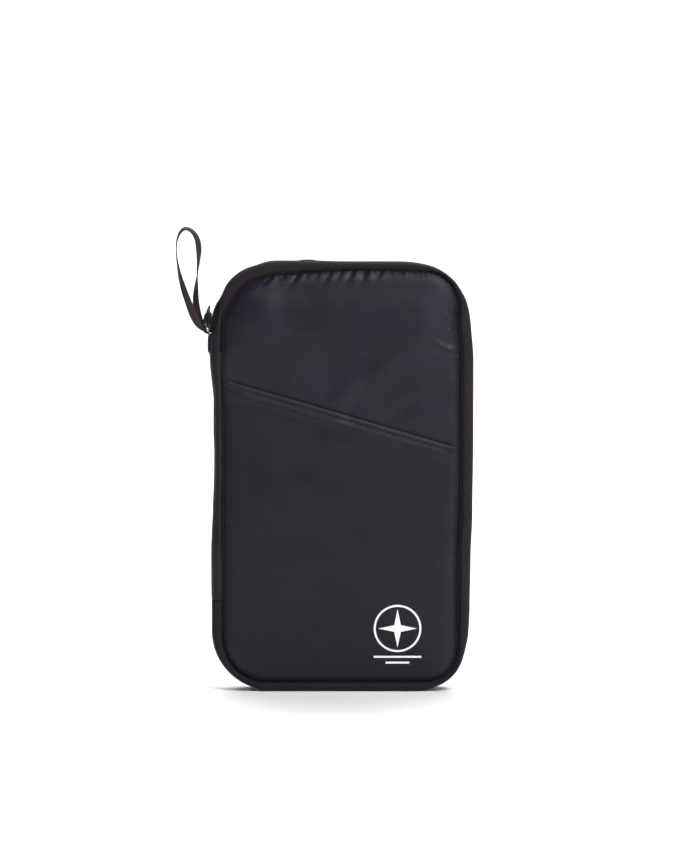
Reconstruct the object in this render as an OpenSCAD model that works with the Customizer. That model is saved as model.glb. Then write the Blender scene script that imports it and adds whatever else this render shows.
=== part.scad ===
// Zip-around passport wallet: two padded covers, a fabric spine, a coil zip and a ribbon pull.
// X is to the right, Y to the back and Z up. The origin is the middle of the bottom zip edge.

/* [Case] */
// Width of the closed case
case_w = 143; // [138:1:150]
// Height of the closed case
case_h = 235; // [228:1:245]
// Radius of the four outer corners
corner_r = 34; // [32:1:36]
// Distance from the middle plane to the outer face of a cover
half_depth = 11; // [11:0.5:13]
// Thickness of the woven shell fabric
shell_t = 0.8; // [0.6:0.1:0.9]
// Thickness of the inner lining fabric
lining_t = 0.6; // [0.5:0.1:0.7]
// Distance from the outline to the seam round each cover
seam_inset = 7; // [7:0.25:7.5]

/* [Zip] */
// Thickness of the zip tape
tape_t = 0.8; // [0.7:0.05:0.8]
// Half the width of the flat edge band that the zip forms
band_half = 7; // [6.5:0.25:7.5]
// Width of one half of the coil
coil_w = 2.45; // [2.2:0.05:2.45]
// Thickness of the coil
coil_t = 1.4; // [1.2:0.1:1.4]
// Half the slot between the two coils, where the slider's neck runs
coil_gap = 0.55; // [0.5:0.05:0.6]
// Angle of the corner that the joined zip end takes
zip_end_angle = 18; // [17:0.5:19]

/* [Spine] */
// Height of the spine fabric's lower end
spine_low = 50; // [46:1:54]
// Height of the spine fabric's upper end
spine_high = 186; // [183:1:187]
// How far the spine lies inside the case outline
spine_inset = 1.3; // [1.1:0.1:1.5]

/* [Front pocket] */
// Height of the slash pocket's mouth at the left seam
mouth_left = 171; // [160:1:180]
// Height of the slash pocket's mouth at the right seam
mouth_right = 133; // [125:1:145]
// Width of the pocket's folded hem
hem_w = 3; // [2:0.5:4]

/* [Printed mark] */
// Outer radius of the mark's ring
mark_r = 13; // [10:0.5:15]
// Middle of the mark along X
mark_x = 30; // [25:1:35]
// Middle of the mark along Z
mark_z = 35; // [32:1:40]

/* [Slider] */
// Length of the slider
slider_len = 13; // [12:0.5:13]
// Width of the slider
slider_w = 8.6; // [8:0.2:9]
// Width of the ribbon pull
ribbon_w = 3.6; // [3:0.2:4]
// Thickness of the ribbon pull
ribbon_t = 0.7; // [0.5:0.1:0.8]

/* [Inner pockets] */
// Width of the passport pocket
passport_w = 104; // [96:2:108]
// Height of the passport pocket
passport_h = 108; // [100:2:110]
// Width of the card slots
card_w = 98; // [92:2:104]
// Step from one card slot's mouth to the next
card_step = 13; // [10:1:14]
// Width of the coin pocket
coin_pocket_w = 104; // [96:2:108]
// Height of the coin pocket's zip line
coin_zip_z = 111; // [105:1:120]

/* [Hidden] */
$fn = 64;

// which side of the middle plane a piece is on
FRONT = -1;
BACK = 1;
// left, right, top and bottom of the case outline
left_x = -case_w / 2;
right_x = case_w / 2;
// centres of the corner arcs
arc_x = case_w / 2 - corner_r;
arc_low = corner_r;
arc_high = case_h - corner_r;
// seam plane where the tape goes under the shell, and the layers inwards from it
seam_y = half_depth - shell_t;
lining_out = half_depth - 3.4;
lining_in = lining_out - lining_t;
// insets of the layers from the outline
shell_inset = seam_inset - 0.4;
foam_inset = seam_inset + 2.3;
lining_inset = seam_inset + 0.2;
allowance_inset = seam_inset + 2;
binding_inset = seam_inset + 5;
binding_t = 0.6;
// clearance between pieces that move past each other
gap = 0.5;
// steps of the quarter curve from the flat edge band to the seam
wrap_steps = 8;
spine_flat = band_half - 2;
fold_angle = 44;
fabric = "#2b2a30";
tape_colour = "#2a2627";
lining_colour = "#3a3a40";
metal = "#151515";

// A flat layer of a 2D shape, between two distances from the middle plane
module layer(side, near, far) {
    translate([0, side == BACK ? far : -near, 0])
        rotate([90, 0, 0])
            linear_extrude(far - near)
                children();
}

// A rectangle with round corners
module rounded_rect(x0, z0, x1, z1, r) {
    translate([x0 + r, z0])
        square([x1 - x0 - 2 * r, z1 - z0]);
    translate([x0, z0 + r])
        square([x1 - x0, z1 - z0 - 2 * r]);
    for (x = [x0 + r, x1 - r], z = [z0 + r, z1 - r])
        translate([x, z])
            circle(r);
}

// The case outline, moved inwards
module outline(inset) {
    rounded_rect(left_x + inset, inset, right_x - inset, case_h - inset, corner_r - inset);
}

// Points of the curve from the flat edge band, at 0, round to the seam, at 90 degrees.
// A point is [distance inside the outline, distance from the middle plane].
function wrap(from, to, inset, flat, thick) =
    [for (i = [0:wrap_steps])
        let (t = from + (to - from) * i / wrap_steps)
            [seam_inset - (seam_inset - inset - thick) * cos(t), flat + (seam_y - flat - thick) * sin(t)]];

function reversed(points) = [for (i = [len(points) - 1:-1:0]) points[i]];

// Section of a strip of fabric along that curve, with a seam allowance under the shell if it has one
function strip_section(from, to, inset, flat, thick, allowance) =
    concat(
        wrap(from, to, inset, flat, 0),
        allowance ? [[allowance_inset, seam_y], [allowance_inset, seam_y - thick]] : [],
        reversed(wrap(from, to, inset, flat, thick)));

// Section of one zip tape: a channel under the coil, the flat band and the curve to the seam
channel_y = coil_gap + coil_w + 0.1;
function tape_section(to, allowance) =
    concat(
        [[coil_t + tape_t, channel_y + tape_t],
         [coil_t + tape_t, coil_gap],
         [coil_t, coil_gap],
         [coil_t, channel_y],
         [0, channel_y]],
        strip_section(0, to, 0, band_half, tape_t, allowance),
        [[tape_t, channel_y + tape_t]]);

coil_section = [[0, coil_gap], [0, coil_gap + coil_w], [coil_t, coil_gap + coil_w], [coil_t, coil_gap]];
binding_section = [
    [shell_inset - 0.2, lining_in - binding_t],
    [binding_inset, lining_in - binding_t],
    [binding_inset, lining_in],
    [lining_inset, lining_in],
    [lining_inset, seam_y - tape_t - 0.1],
    [shell_inset - 0.2, seam_y - tape_t - 0.1]];

// A section drawn along an upright stretch of the left edge
module left_run(section, side, z0, z1) {
    translate([left_x, 0, z0])
        linear_extrude(z1 - z0)
            polygon([for (p = section) [p.x, side * p.y]]);
}

module right_run(section, side, z0, z1) {
    mirror([1, 0, 0])
        left_run(section, side, z0, z1);
}

module bottom_run(section, side) {
    translate([arc_x, 0, 0])
        rotate([0, -90, 0])
            linear_extrude(2 * arc_x)
                polygon([for (p = section) [p.x, side * p.y]]);
}

module top_run(section, side) {
    translate([0, 0, case_h])
        mirror([0, 0, 1])
            bottom_run(section, side);
}

// A section turned round a corner, from one angle to another, counted from +X towards +Z
module corner_run(section, side, x, z, from, to) {
    translate([x, 0, z])
        rotate([90, 0, 0])
            rotate([0, 0, from])
                rotate_extrude(angle = to - from)
                    polygon([for (p = section) [corner_r - p.x, -side * p.y]]);
}

// A section along the zip's way round a cover, from the zip end to the spine's lower end
module zip_run(section, side) {
    corner_run(section, side, -arc_x, arc_high, 90, 180 - zip_end_angle - 0.8);
    top_run(section, side);
    corner_run(section, side, arc_x, arc_high, 0, 90);
    right_run(section, side, arc_low, arc_high);
    corner_run(section, side, arc_x, arc_low, 270, 360);
    bottom_run(section, side);
    corner_run(section, side, -arc_x, arc_low, 180, 270);
    left_run(section, side, arc_low, spine_low - gap);
}

// A section all the way round a cover
module full_run(section, side) {
    corner_run(section, side, -arc_x, arc_high, 90, 180);
    top_run(section, side);
    corner_run(section, side, arc_x, arc_high, 0, 90);
    right_run(section, side, arc_low, arc_high);
    corner_run(section, side, arc_x, arc_low, 270, 360);
    bottom_run(section, side);
    corner_run(section, side, -arc_x, arc_low, 180, 270);
    left_run(section, side, arc_low, arc_high);
}

// A section along the joined end of the zip, above the spine
module zip_end_run(section, side) {
    left_run(section, side, spine_high, arc_high);
    corner_run(section, side, -arc_x, arc_high, 180, 180 - zip_end_angle);
}

// ---- the layers that both covers have ----

module shell(side) {
    color(fabric)
        layer(side, seam_y, half_depth)
            outline(shell_inset);
}

module foam(side) {
    color("#8d8d90")
        layer(side, lining_out, seam_y)
            outline(foam_inset);
}

module lining(side) {
    color(lining_colour)
        layer(side, lining_in, lining_out)
            outline(lining_inset);
}

module binding(side) {
    color(tape_colour)
        full_run(binding_section, side);
}

module gusset(side) {
    section = strip_section(fold_angle + 4, 90, spine_inset, spine_flat, shell_t, true);
    color(fabric)
        left_run(section, side, spine_low + gap, spine_high - gap);
}

module zip_tape(side) {
    color(tape_colour)
        zip_run(tape_section(90, true), side);
}

module zip_coil(side) {
    color(metal)
        zip_run(coil_section, side);
}

module back_shell() shell(BACK);
module back_foam() foam(BACK);
module back_lining() lining(BACK);
module back_binding() binding(BACK);
module back_gusset() gusset(BACK);
module back_zip_tape() zip_tape(BACK);
module back_zip_coil() zip_coil(BACK);
module front_shell() shell(FRONT);
module front_foam() foam(FRONT);
module front_lining() lining(FRONT);
module front_binding() binding(FRONT);
module front_gusset() gusset(FRONT);
module front_zip_tape() zip_tape(FRONT);
module front_zip_coil() zip_coil(FRONT);

// ---- slash pocket and printed mark on the front ----

pocket_t = 0.7;
hem_t = 0.4;
mark_t = 0.1;
mouth_slope = (mouth_right - mouth_left) / (case_w - 2 * shell_inset);
// height of the pocket's mouth at a place along X
function mouth_z(x) = mouth_left + mouth_slope * (x - left_x - shell_inset);

// The area between two lines that run along the mouth
module below_mouth(low, high) {
    polygon([
        [left_x, low == 0 ? 0 : mouth_z(left_x) - low],
        [right_x, low == 0 ? 0 : mouth_z(right_x) - low],
        [right_x, mouth_z(right_x) - high],
        [left_x, mouth_z(left_x) - high]]);
}

module front_pocket_panel() {
    color(fabric)
        layer(FRONT, half_depth, half_depth + pocket_t)
            intersection() {
                outline(shell_inset);
                below_mouth(0, 0);
            }
}

module front_pocket_hem() {
    color(fabric)
        layer(FRONT, half_depth + pocket_t, half_depth + pocket_t + hem_t)
            intersection() {
                outline(shell_inset);
                below_mouth(hem_w, 0);
            }
}

mark_line = 1.1;
star_inner = 2.6;
bar_w = 26;
bar_drop = 3.2;

// A plain compass star in a ring, over two bars
module printed_mark() {
    color("white")
        layer(FRONT, half_depth + pocket_t, half_depth + pocket_t + mark_t)
            translate([mark_x, mark_z]) {
                difference() {
                    circle(mark_r);
                    circle(mark_r - mark_line);
                }
                polygon([for (i = [0:7])
                    let (r = i % 2 == 0 ? mark_r - 2.4 : star_inner)
                        [r * sin(45 * i), r * cos(45 * i)]]);
                for (i = [1:2])
                    translate([-bar_w / (2 * i), -mark_r - i * bar_drop])
                        square([bar_w / i, mark_line]);
            }
}

// ---- pockets inside the front cover ----

pocket_low = 14;
pocket_r = 4;
ply = 0.6;
card_low = pocket_low + passport_h + 6;
card_h = 46;

module passport_pocket() {
    color(fabric)
        layer(FRONT, lining_in - ply, lining_in)
            intersection() {
                outline(binding_inset + gap);
                rounded_rect(-passport_w / 2, pocket_low, passport_w / 2, pocket_low + passport_h, pocket_r);
            }
}

module passport_pocket_hem() {
    color(tape_colour)
        layer(FRONT, lining_in - 2 * ply, lining_in - ply)
            translate([-passport_w / 2 + pocket_r, pocket_low + passport_h - 2 * hem_w])
                square([passport_w - 2 * pocket_r, hem_w]);
}

// The slot that is counted from the lining: each is one step lower and one ply nearer the middle
module card_slot(i) {
    color(fabric)
        layer(FRONT, lining_in - (i + 1) * ply, lining_in - i * ply)
            rounded_rect(-card_w / 2, card_low, card_w / 2, card_low + card_h + (2 - i) * card_step, 2);
}

module card_slot_upper() card_slot(0);
module card_slot_middle() card_slot(1);
module card_slot_lower() card_slot(2);

// ---- pockets inside the back cover ----

sleeve_w = 110;
sleeve_top = 206;
mesh_t = 0.9;
sleeve_in = lining_in - ply;
mesh_in = sleeve_in - mesh_t;
coin_tape_t = 0.5;
coin_tape_w = 6;
coin_coil_w = 1.3;
coin_coil_t = 0.9;
coin_coil_gap = 0.45;
coin_coil_in = mesh_in - coin_tape_t - coin_coil_t;

module document_sleeve() {
    color(fabric)
        layer(BACK, sleeve_in, lining_in)
            intersection() {
                outline(binding_inset + gap);
                rounded_rect(-sleeve_w / 2, pocket_low, sleeve_w / 2, sleeve_top, pocket_r);
            }
}

module coin_pocket_mesh() {
    color("#46464c")
        layer(BACK, mesh_in, sleeve_in)
            rounded_rect(-coin_pocket_w / 2, pocket_low + 4, coin_pocket_w / 2, coin_zip_z - 4.5, 2);
}

module coin_pocket_band() {
    color(fabric)
        layer(BACK, mesh_in, sleeve_in)
            translate([-coin_pocket_w / 2, coin_zip_z + 4.5])
                square([coin_pocket_w, 6]);
}

module coin_zip_tapes() {
    color(tape_colour)
        for (z = [coin_zip_z - coin_coil_gap - coin_tape_w, coin_zip_z + coin_coil_gap])
            layer(BACK, mesh_in - coin_tape_t, mesh_in)
                translate([-coin_pocket_w / 2, z])
                    square([coin_pocket_w, coin_tape_w]);
}

module coin_zip_coils() {
    color(metal)
        for (z = [coin_zip_z - coin_coil_gap - coin_coil_w, coin_zip_z + coin_coil_gap])
            layer(BACK, coin_coil_in, mesh_in - coin_tape_t)
                translate([-coin_pocket_w / 2 + 4, z])
                    square([coin_pocket_w - 8, coin_coil_w]);
}

module coin_zip_stops() {
    color("#77777c")
        for (x = [-coin_pocket_w / 2 + 1.5, coin_pocket_w / 2 - 3.5])
            layer(BACK, coin_coil_in, mesh_in - coin_tape_t)
                translate([x, coin_zip_z - 1.8])
                    square([2, 3.6]);
}

coin_slider_len = 8;
coin_slider_w = 5.4;
coin_slider_x = -coin_pocket_w / 2 + 5;
coin_plate_t = 0.7;
coin_front_plate = coin_coil_in - 0.2 - coin_plate_t;
coin_pull_len = 14;
coin_pull_t = 0.8;
coin_pin_x = coin_slider_x + coin_slider_len / 2;
coin_pin_y = coin_front_plate - 0.7;

module coin_slider() {
    color(metal)
        translate([coin_slider_x, 0, coin_zip_z]) {
            layer(BACK, coin_front_plate, coin_front_plate + coin_plate_t)
                translate([0, -coin_slider_w / 2])
                    square([coin_slider_len, coin_slider_w]);
            layer(BACK, mesh_in + 0.2, mesh_in + 0.7)
                translate([0, -coin_slider_w / 2])
                    square([coin_slider_len, coin_slider_w]);
            layer(BACK, coin_front_plate, mesh_in + 0.7)
                translate([coin_slider_len - 2, -0.2])
                    square([1.6, 0.4]);
            for (x = [1.2, coin_slider_len - 2.4])
                layer(BACK, coin_front_plate - 1.4, coin_front_plate)
                    translate([x, -0.6])
                        square([1.2, 1.2]);
            layer(BACK, coin_front_plate - 1.9, coin_front_plate - 1.4)
                translate([1.2, -0.6])
                    square([coin_slider_len - 2.4, 1.2]);
        }
}

// The little pull: a pin under the slider's bridge and a flat tab beside it
module coin_pull() {
    color(metal) {
        translate([coin_pin_x, coin_pin_y, coin_zip_z - 1.6])
            cylinder(h = 3.2, r = 0.35);
        for (z = [coin_zip_z - 1.6, coin_zip_z + 1])
            translate([coin_pin_x - 0.35, coin_pin_y - coin_pull_t / 2, z])
                cube([4.6, coin_pull_t, 0.6]);
        translate([coin_pin_x + 4.2, coin_pin_y - coin_pull_t / 2, coin_zip_z - 1.6])
            cube([coin_pull_len - 4, coin_pull_t, 3.2]);
    }
}

// ---- spine ----

module spine_shell() {
    color(fabric)
        left_run(
            concat(
                reversed([for (p = wrap(0, fold_angle - 4, spine_inset, spine_flat, 0)) [p.x, -p.y]]),
                wrap(0, fold_angle - 4, spine_inset, spine_flat, 0),
                reversed(wrap(0, fold_angle - 4, spine_inset, spine_flat, shell_t)),
                [for (p = wrap(0, fold_angle - 4, spine_inset, spine_flat, shell_t)) [p.x, -p.y]]),
            BACK, spine_low, spine_high);
}

module spine_lining() {
    color(lining_colour)
        translate([left_x + spine_inset + shell_t, -spine_flat, spine_low])
            cube([lining_t, 2 * spine_flat, spine_high - spine_low]);
}

tab_t = 0.8;
tab_over = 6.5;
tab_half_w = 5;

// The tab bends out from the spine over the end of the zip
module spine_top_tab() {
    spine_face = left_x + spine_inset;
    zip_face = left_x - 0.6;
    color(fabric)
        translate([0, tab_half_w, 0])
            rotate([90, 0, 0])
                linear_extrude(2 * tab_half_w)
                    polygon([
                        [spine_face, spine_high - tab_over],
                        [spine_face, spine_high - 0.2],
                        [left_x, spine_high],
                        [zip_face, spine_high + 0.4],
                        [zip_face, spine_high + tab_over],
                        [zip_face - tab_t, spine_high + tab_over],
                        [zip_face - tab_t, spine_high],
                        [spine_face - tab_t, spine_high - tab_over]]);
}

module spine_bottom_tab() {
    color(fabric)
        translate([left_x + spine_inset - tab_t, -tab_half_w, spine_low])
            cube([tab_t, 2 * tab_half_w, 16]);
}

module zip_end_tapes() {
    color(tape_colour)
        for (side = [FRONT, BACK])
            zip_end_run(tape_section(78, false), side);
}

module zip_end_coils() {
    color(metal)
        for (side = [FRONT, BACK])
            zip_end_run(coil_section, side);
}

module zip_end_stops() {
    color("#77777c")
        for (y = [-coil_gap - coil_w, coil_gap])
            translate([left_x - gap, y, spine_high + 1.5])
                cube([gap, coil_w, 2.5]);
}

// ---- slider and ribbon pull ----

slider_low = arc_high - 5.5;
plate_t = 1.2;
plate_out = left_x - 0.4 - plate_t;
inner_plate = left_x + coil_t + tape_t + 1.2;
neck_w = 0.6;
neck_len = 3;
bridge_w = 1.8;
eye_x = plate_out - 0.9;
eye_z = slider_low + 1.8;

// Outline of a slider plate: narrow at the top, with cut corners
module slider_plate(x, thick) {
    translate([x, 0, slider_low])
        rotate([90, 0, 90])
            linear_extrude(thick)
                polygon([
                    [-slider_w / 2 + 1, 0],
                    [slider_w / 2 - 1, 0],
                    [slider_w / 2, 1.2],
                    [slider_w / 2, slider_len * 0.55],
                    [slider_w / 2 - 1.4, slider_len],
                    [-slider_w / 2 + 1.4, slider_len],
                    [-slider_w / 2, slider_len * 0.55],
                    [-slider_w / 2, 1.2]]);
}

module slider_body() {
    color(metal) {
        slider_plate(plate_out, plate_t);
        slider_plate(inner_plate, 1);
        translate([plate_out, -neck_w / 2, slider_low + 1])
            cube([inner_plate + 1 - plate_out, neck_w, neck_len]);
    }
}

// The arch over the slider that holds the pull
module slider_bridge() {
    color(metal)
        translate([0, bridge_w / 2, slider_low])
            rotate([90, 0, 0])
                linear_extrude(bridge_w)
                    polygon([
                        [plate_out, 0.2],
                        [plate_out - 1.4, 0],
                        [plate_out - 2.6, 1.4],
                        [plate_out - 2.7, 5],
                        [plate_out - 2.2, 9],
                        [plate_out - 0.9, 11.8],
                        [plate_out, 12.2],
                        [plate_out, 9.8],
                        [plate_out - 1.4, 8],
                        [plate_out - 1.8, 5],
                        [plate_out - 1.8, 1.6],
                        [plate_out - 1.2, 0.8],
                        [plate_out, 0.8]]);
}

// Route of the ribbon loop, from the bridge's eye up its left strand and down its right one.
// Each row is [x, y, z, width share, turn]: the turn is 0 or 180 where the ribbon faces the front
// and 90 where its edge does.
ribbon_route = [
    [eye_x, 0, eye_z, 0.26, 0],
    [eye_x - 0.1, -1.2, eye_z, 0.28, 0],
    [-75.0, -1.8, 197.5, 0.38, 0],
    [-76.6, -1.8, 198.2, 0.6, 0],
    [-79.2, -1.8, 201.3, 0.9, 10],
    [-81.6, -1.7, 206.2, 1, 10],
    [-84.0, -1.4, 212.6, 1, 20],
    [-86.3, -1.1, 219.1, 1, 35],
    [-88.8, -0.7, 228.2, 1, 65],
    [-90.2, -0.3, 237.5, 1, 85],
    [-90.3, -0.1, 244.0, 1, 85],
    [-89.3, 0, 248.4, 1, 75],
    [-87.2, 0, 251.6, 1, 65],
    [-84.5, 0, 252.3, 1, 65],
    [-81.4, 0.2, 250.4, 1, 60],
    [-79.2, 0.4, 246.8, 1, 50],
    [-78.3, 0.7, 241.9, 1, 45],
    [-78.4, 0.9, 236.0, 1, 65],
    [-79.1, 1.1, 228.2, 1, 90],
    [-79.7, 1.2, 221.0, 1, 120],
    [-80.0, 1.3, 214.5, 1, 145],
    [-79.4, 1.6, 208.0, 1, 165],
    [-78.0, 1.9, 202.9, 0.9, 175],
    [-76.3, 1.8, 199.3, 0.6, 180],
    [-75.0, 1.8, 197.6, 0.38, 180],
    [eye_x - 0.1, 1.2, eye_z, 0.28, 180]];

route_len = len(ribbon_route);
function at(i) = ribbon_route[(i + route_len) % route_len];
function place(i) = [at(i).x, at(i).y, at(i).z];
function unit(v) = v / norm(v);
// direction of the route, its sideways direction as seen from the front, and its front direction
function along(i) = unit(place(i + 1) - place(i - 1));
function across(i) = unit(cross(along(i), [0, 1, 0]));
function facing(i) = unit(cross(across(i), along(i)));
// at the eye the ribbon runs straight through, from back to front
function width_way(i) = i == 0 ? [0, 0, -1] : across(i) * cos(at(i)[4]) + facing(i) * sin(at(i)[4]);
function thick_way(i) = unit(cross(along(i), width_way(i)));
function corner_point(i, w, t) =
    place(i) + width_way(i) * w * ribbon_w * at(i)[3] / 2 + thick_way(i) * t * ribbon_t / 2;
// the four corners of each section, in one turning order
function ring(i) = [corner_point(i, -1, -1), corner_point(i, 1, -1), corner_point(i, 1, 1),
    corner_point(i, -1, 1)];

module ribbon_pull() {
    points = [for (i = [0:route_len - 1]) each ring(i)];
    faces = [for (i = [0:route_len - 1], k = [0:3])
        let (
            a = 4 * i + k,
            b = 4 * i + (k + 1) % 4,
            c = 4 * ((i + 1) % route_len) + (k + 1) % 4,
            d = 4 * ((i + 1) % route_len) + k)
            each [[a, b, c], [a, c, d]]];
    color("#46403c")
        polyhedron(points, faces);
}

back_shell();
back_foam();
back_lining();
back_binding();
back_gusset();
back_zip_tape();
back_zip_coil();
document_sleeve();
coin_pocket_mesh();
coin_pocket_band();
coin_zip_tapes();
coin_zip_coils();
coin_zip_stops();
coin_slider();
coin_pull();
front_shell();
front_foam();
front_lining();
front_binding();
front_gusset();
front_zip_tape();
front_zip_coil();
front_pocket_panel();
front_pocket_hem();
printed_mark();
passport_pocket();
passport_pocket_hem();
card_slot_upper();
card_slot_middle();
card_slot_lower();
spine_shell();
spine_lining();
spine_top_tab();
spine_bottom_tab();
zip_end_tapes();
zip_end_coils();
zip_end_stops();
slider_body();
slider_bridge();
ribbon_pull();
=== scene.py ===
import math

import bmesh
import bpy
import numpy as np
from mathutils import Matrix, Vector


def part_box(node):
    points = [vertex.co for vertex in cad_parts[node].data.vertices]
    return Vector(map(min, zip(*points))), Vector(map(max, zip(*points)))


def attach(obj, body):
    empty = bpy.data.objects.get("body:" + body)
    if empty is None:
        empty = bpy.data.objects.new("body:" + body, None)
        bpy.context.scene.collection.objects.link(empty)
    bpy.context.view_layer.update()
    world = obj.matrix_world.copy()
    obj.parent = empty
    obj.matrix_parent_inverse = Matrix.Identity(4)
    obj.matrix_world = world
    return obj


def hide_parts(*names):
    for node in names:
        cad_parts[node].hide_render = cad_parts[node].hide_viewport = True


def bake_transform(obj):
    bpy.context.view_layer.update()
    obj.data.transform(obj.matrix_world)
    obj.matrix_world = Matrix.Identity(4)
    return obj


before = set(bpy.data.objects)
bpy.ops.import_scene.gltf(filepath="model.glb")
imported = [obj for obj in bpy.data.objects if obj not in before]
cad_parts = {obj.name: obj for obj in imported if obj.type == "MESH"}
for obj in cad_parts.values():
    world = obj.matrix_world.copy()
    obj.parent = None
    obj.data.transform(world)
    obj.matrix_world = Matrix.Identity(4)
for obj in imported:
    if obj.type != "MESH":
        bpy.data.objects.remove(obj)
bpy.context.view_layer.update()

MM = 0.001

# ---- sizes, in millimetres

tape_low, tape_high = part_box("back_zip_tape")
left_x = tape_low.x / MM
right_x = tape_high.x / MM
case_top = tape_high.z / MM
spine_low_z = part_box("spine_shell")[0].z / MM
spine_high_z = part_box("spine_shell")[1].z / MM
lining_in = -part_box("front_lining")[1].y / MM
lining_out = -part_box("front_lining")[0].y / MM

# A rounded rectangle: left, right, bottom, top, then the radius of its corners
# at the top left, top right, bottom right and bottom left
EDGE = (left_x, right_x, 0.0, case_top, 35.5, 35.5, 33.0, 33.0)
SEAM = (-65.6, 65.0, 4.3, 229.8, 30.0, 21.0, 22.0, 25.0)
SEAM_Y = 7.5
FRONT = -1
BACK = 1
COVERS = ((FRONT, "front_cover", "front"), (BACK, "back_cover", "back"))
# distances between stitches along the seams, the pocket hem and the bindings
SEAM_GAP = 3.05
HEM_GAP = 2.9
BINDING_GAP = 3.2


def inset_shape(shape, d):
    x0, x1, z0, z1 = shape[:4]
    return (x0 + d, x1 - d, z0 + d, z1 - d) + tuple(r - d for r in shape[4:])


def on_shape(shape, part, t):
    """Point and inward direction on a rounded rectangle. Parts run clockwise from its left side."""
    x0, x1, z0, z1, r1, r2, r3, r4 = shape
    quarter = math.pi / 2
    if part == 0:
        return (x0, z0 + r4 + t * (z1 - r1 - z0 - r4), 1.0, 0.0)
    if part == 2:
        return (x0 + r1 + t * (x1 - x0 - r1 - r2), z1, 0.0, -1.0)
    if part == 4:
        return (x1, z1 - r2 - t * (z1 - r2 - z0 - r3), -1.0, 0.0)
    if part == 6:
        return (x1 - r3 - t * (x1 - x0 - r3 - r4), z0, 0.0, 1.0)
    cx, cz, r, angle = {
        1: (x0 + r1, z1 - r1, r1, math.pi - t * quarter), 3: (x1 - r2, z1 - r2, r2, quarter - t * quarter),
        5: (x1 - r3, z0 + r3, r3, -t * quarter), 7: (x0 + r4, z0 + r4, r4, -quarter - t * quarter)
    }[part]
    return (cx + r * math.cos(angle), cz + r * math.sin(angle), -math.cos(angle), -math.sin(angle))


def part_lengths(shape):
    x0, x1, z0, z1, r1, r2, r3, r4 = shape
    arc = math.pi / 2
    wide, high = x1 - x0, z1 - z0
    return [
        high - r1 - r4, r1 * arc, wide - r1 - r2, r2 * arc, high - r2 - r3, r3 * arc, wide - r3 - r4,
        r4 * arc
    ]


LENGTHS = part_lengths(EDGE)
LOOP = sum(LENGTHS)


def station(s):
    """Part and share of it, for a distance along the case edge from the lower end of its left side."""
    s = s % LOOP
    for part, length in enumerate(LENGTHS):
        if s <= length:
            return part, s / length
        s -= length
    return 7, 1.0


def left_s(z):
    return z - EDGE[7]


# how far the right side strays outwards at some heights, as (height, stray)
RIGHT_STRAY = [
    (0, 1.4), (26, -2.7), (46, -1.9), (72, -1.5), (98, -0.6), (140, -0.2), (180, -0.2), (205, -1.8),
    (217, -1.2), (226, -0.4), (236, -0.3)
]


def blended(rows, at):
    """A smooth value between rows of (place, value)."""
    value = np.full(np.shape(at), float(rows[0][1]))
    for (a, va), (b, vb) in zip(rows[:-1], rows[1:]):
        value = value + (vb - va) * smooth(a, b, at)
    return value


def case_warp(x, z):
    """How the soft case strays from its plain rounded outline."""
    right = blended(RIGHT_STRAY, z) * smooth(5, 62, x)
    left = 1.5 * hump(z, 216, 5.5) * smooth(-45, -62, x)
    dip = -0.4 * smooth(-15, 0, x) - 0.5 * hump(x, 42, 7) - 0.7 * hump(x, -47, 5.5)
    return right + left, dip * smooth(195, 226, z)


def seam_warp(x, z):
    """How the sewn seam line strays: lower at the top left than at the top right."""
    across, up = case_warp(x, z)
    rise = -2.1 + 3.3 * smooth(-44, 6, x)
    across = across - 0.4 * smooth(20, 64, x) * hump(z, 160, 26)
    across = across + 1.0 * smooth(20, 64, x) * (1 - smooth(20, 70, z))
    across = across - smooth(-20, -64, x) * (0.5 + 1.1 * hump(z, 178, 20))
    return across, up + smooth(196, 229, z) * rise


ZIP_END_S = LENGTHS[0] + LENGTHS[1] * 0.2
ZIP_START_S = ZIP_END_S + 0.06
ZIP_STOP_S = LOOP + left_s(spine_low_z - 0.5)

# ---- small maths helpers


def hump(x, centre, width):
    """A bell of height 1 round a place."""
    return np.exp(-(((x - centre) / width) ** 2))


def strayed(warp, x, z):
    """One point moved by a warp."""
    across, up = warp(x, z)
    return x + float(across), z + float(up)


def outline_point(s, shape, warp):
    """A warped outline's point and inward direction, for a distance along the case edge."""
    x, z, nx, nz = on_shape(shape, *station(s))
    return strayed(warp, x, z) + (nx, nz)


def smooth(a, b, x):
    t = np.clip((np.asarray(x, float) - a) / (b - a), 0, 1)
    return t * t * (3 - 2 * t)


def lattice_noise(x, z, cell, seed):
    """Smooth random waves between -1 and 1, one value per lattice cell."""
    rng = np.random.RandomState(seed)
    table = rng.uniform(-1, 1, (64, 64))
    u = np.asarray(x, float) / cell + 32.0
    v = np.asarray(z, float) / cell + 8.0
    i = np.floor(u).astype(int)
    j = np.floor(v).astype(int)
    fu = u - i
    fv = v - j
    fu = fu * fu * (3 - 2 * fu)
    fv = fv * fv * (3 - 2 * fv)
    a = table[i % 64, j % 64]
    b = table[(i + 1) % 64, j % 64]
    c = table[i % 64, (j + 1) % 64]
    d = table[(i + 1) % 64, (j + 1) % 64]
    return a * (1 - fu) * (1 - fv) + b * fu * (1 - fv) + c * (1 - fu) * fv + d * fu * fv


def inside_distance(shape, x, z):
    """Distance inwards from a rounded rectangle's edge."""
    x0, x1, z0, z1, r1, r2, r3, r4 = shape
    cx, cz = (x0 + x1) / 2, (z0 + z1) / 2
    r = np.where(z > cz, np.where(x > cx, r2, r1), np.where(x > cx, r3, r4))
    q = np.abs(x - cx) - ((x1 - x0) / 2 - r)
    p = np.abs(z - cz) - ((z1 - z0) / 2 - r)
    outside = np.hypot(np.maximum(q, 0), np.maximum(p, 0))
    return r - outside - np.minimum(np.maximum(q, p), 0)


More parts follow.
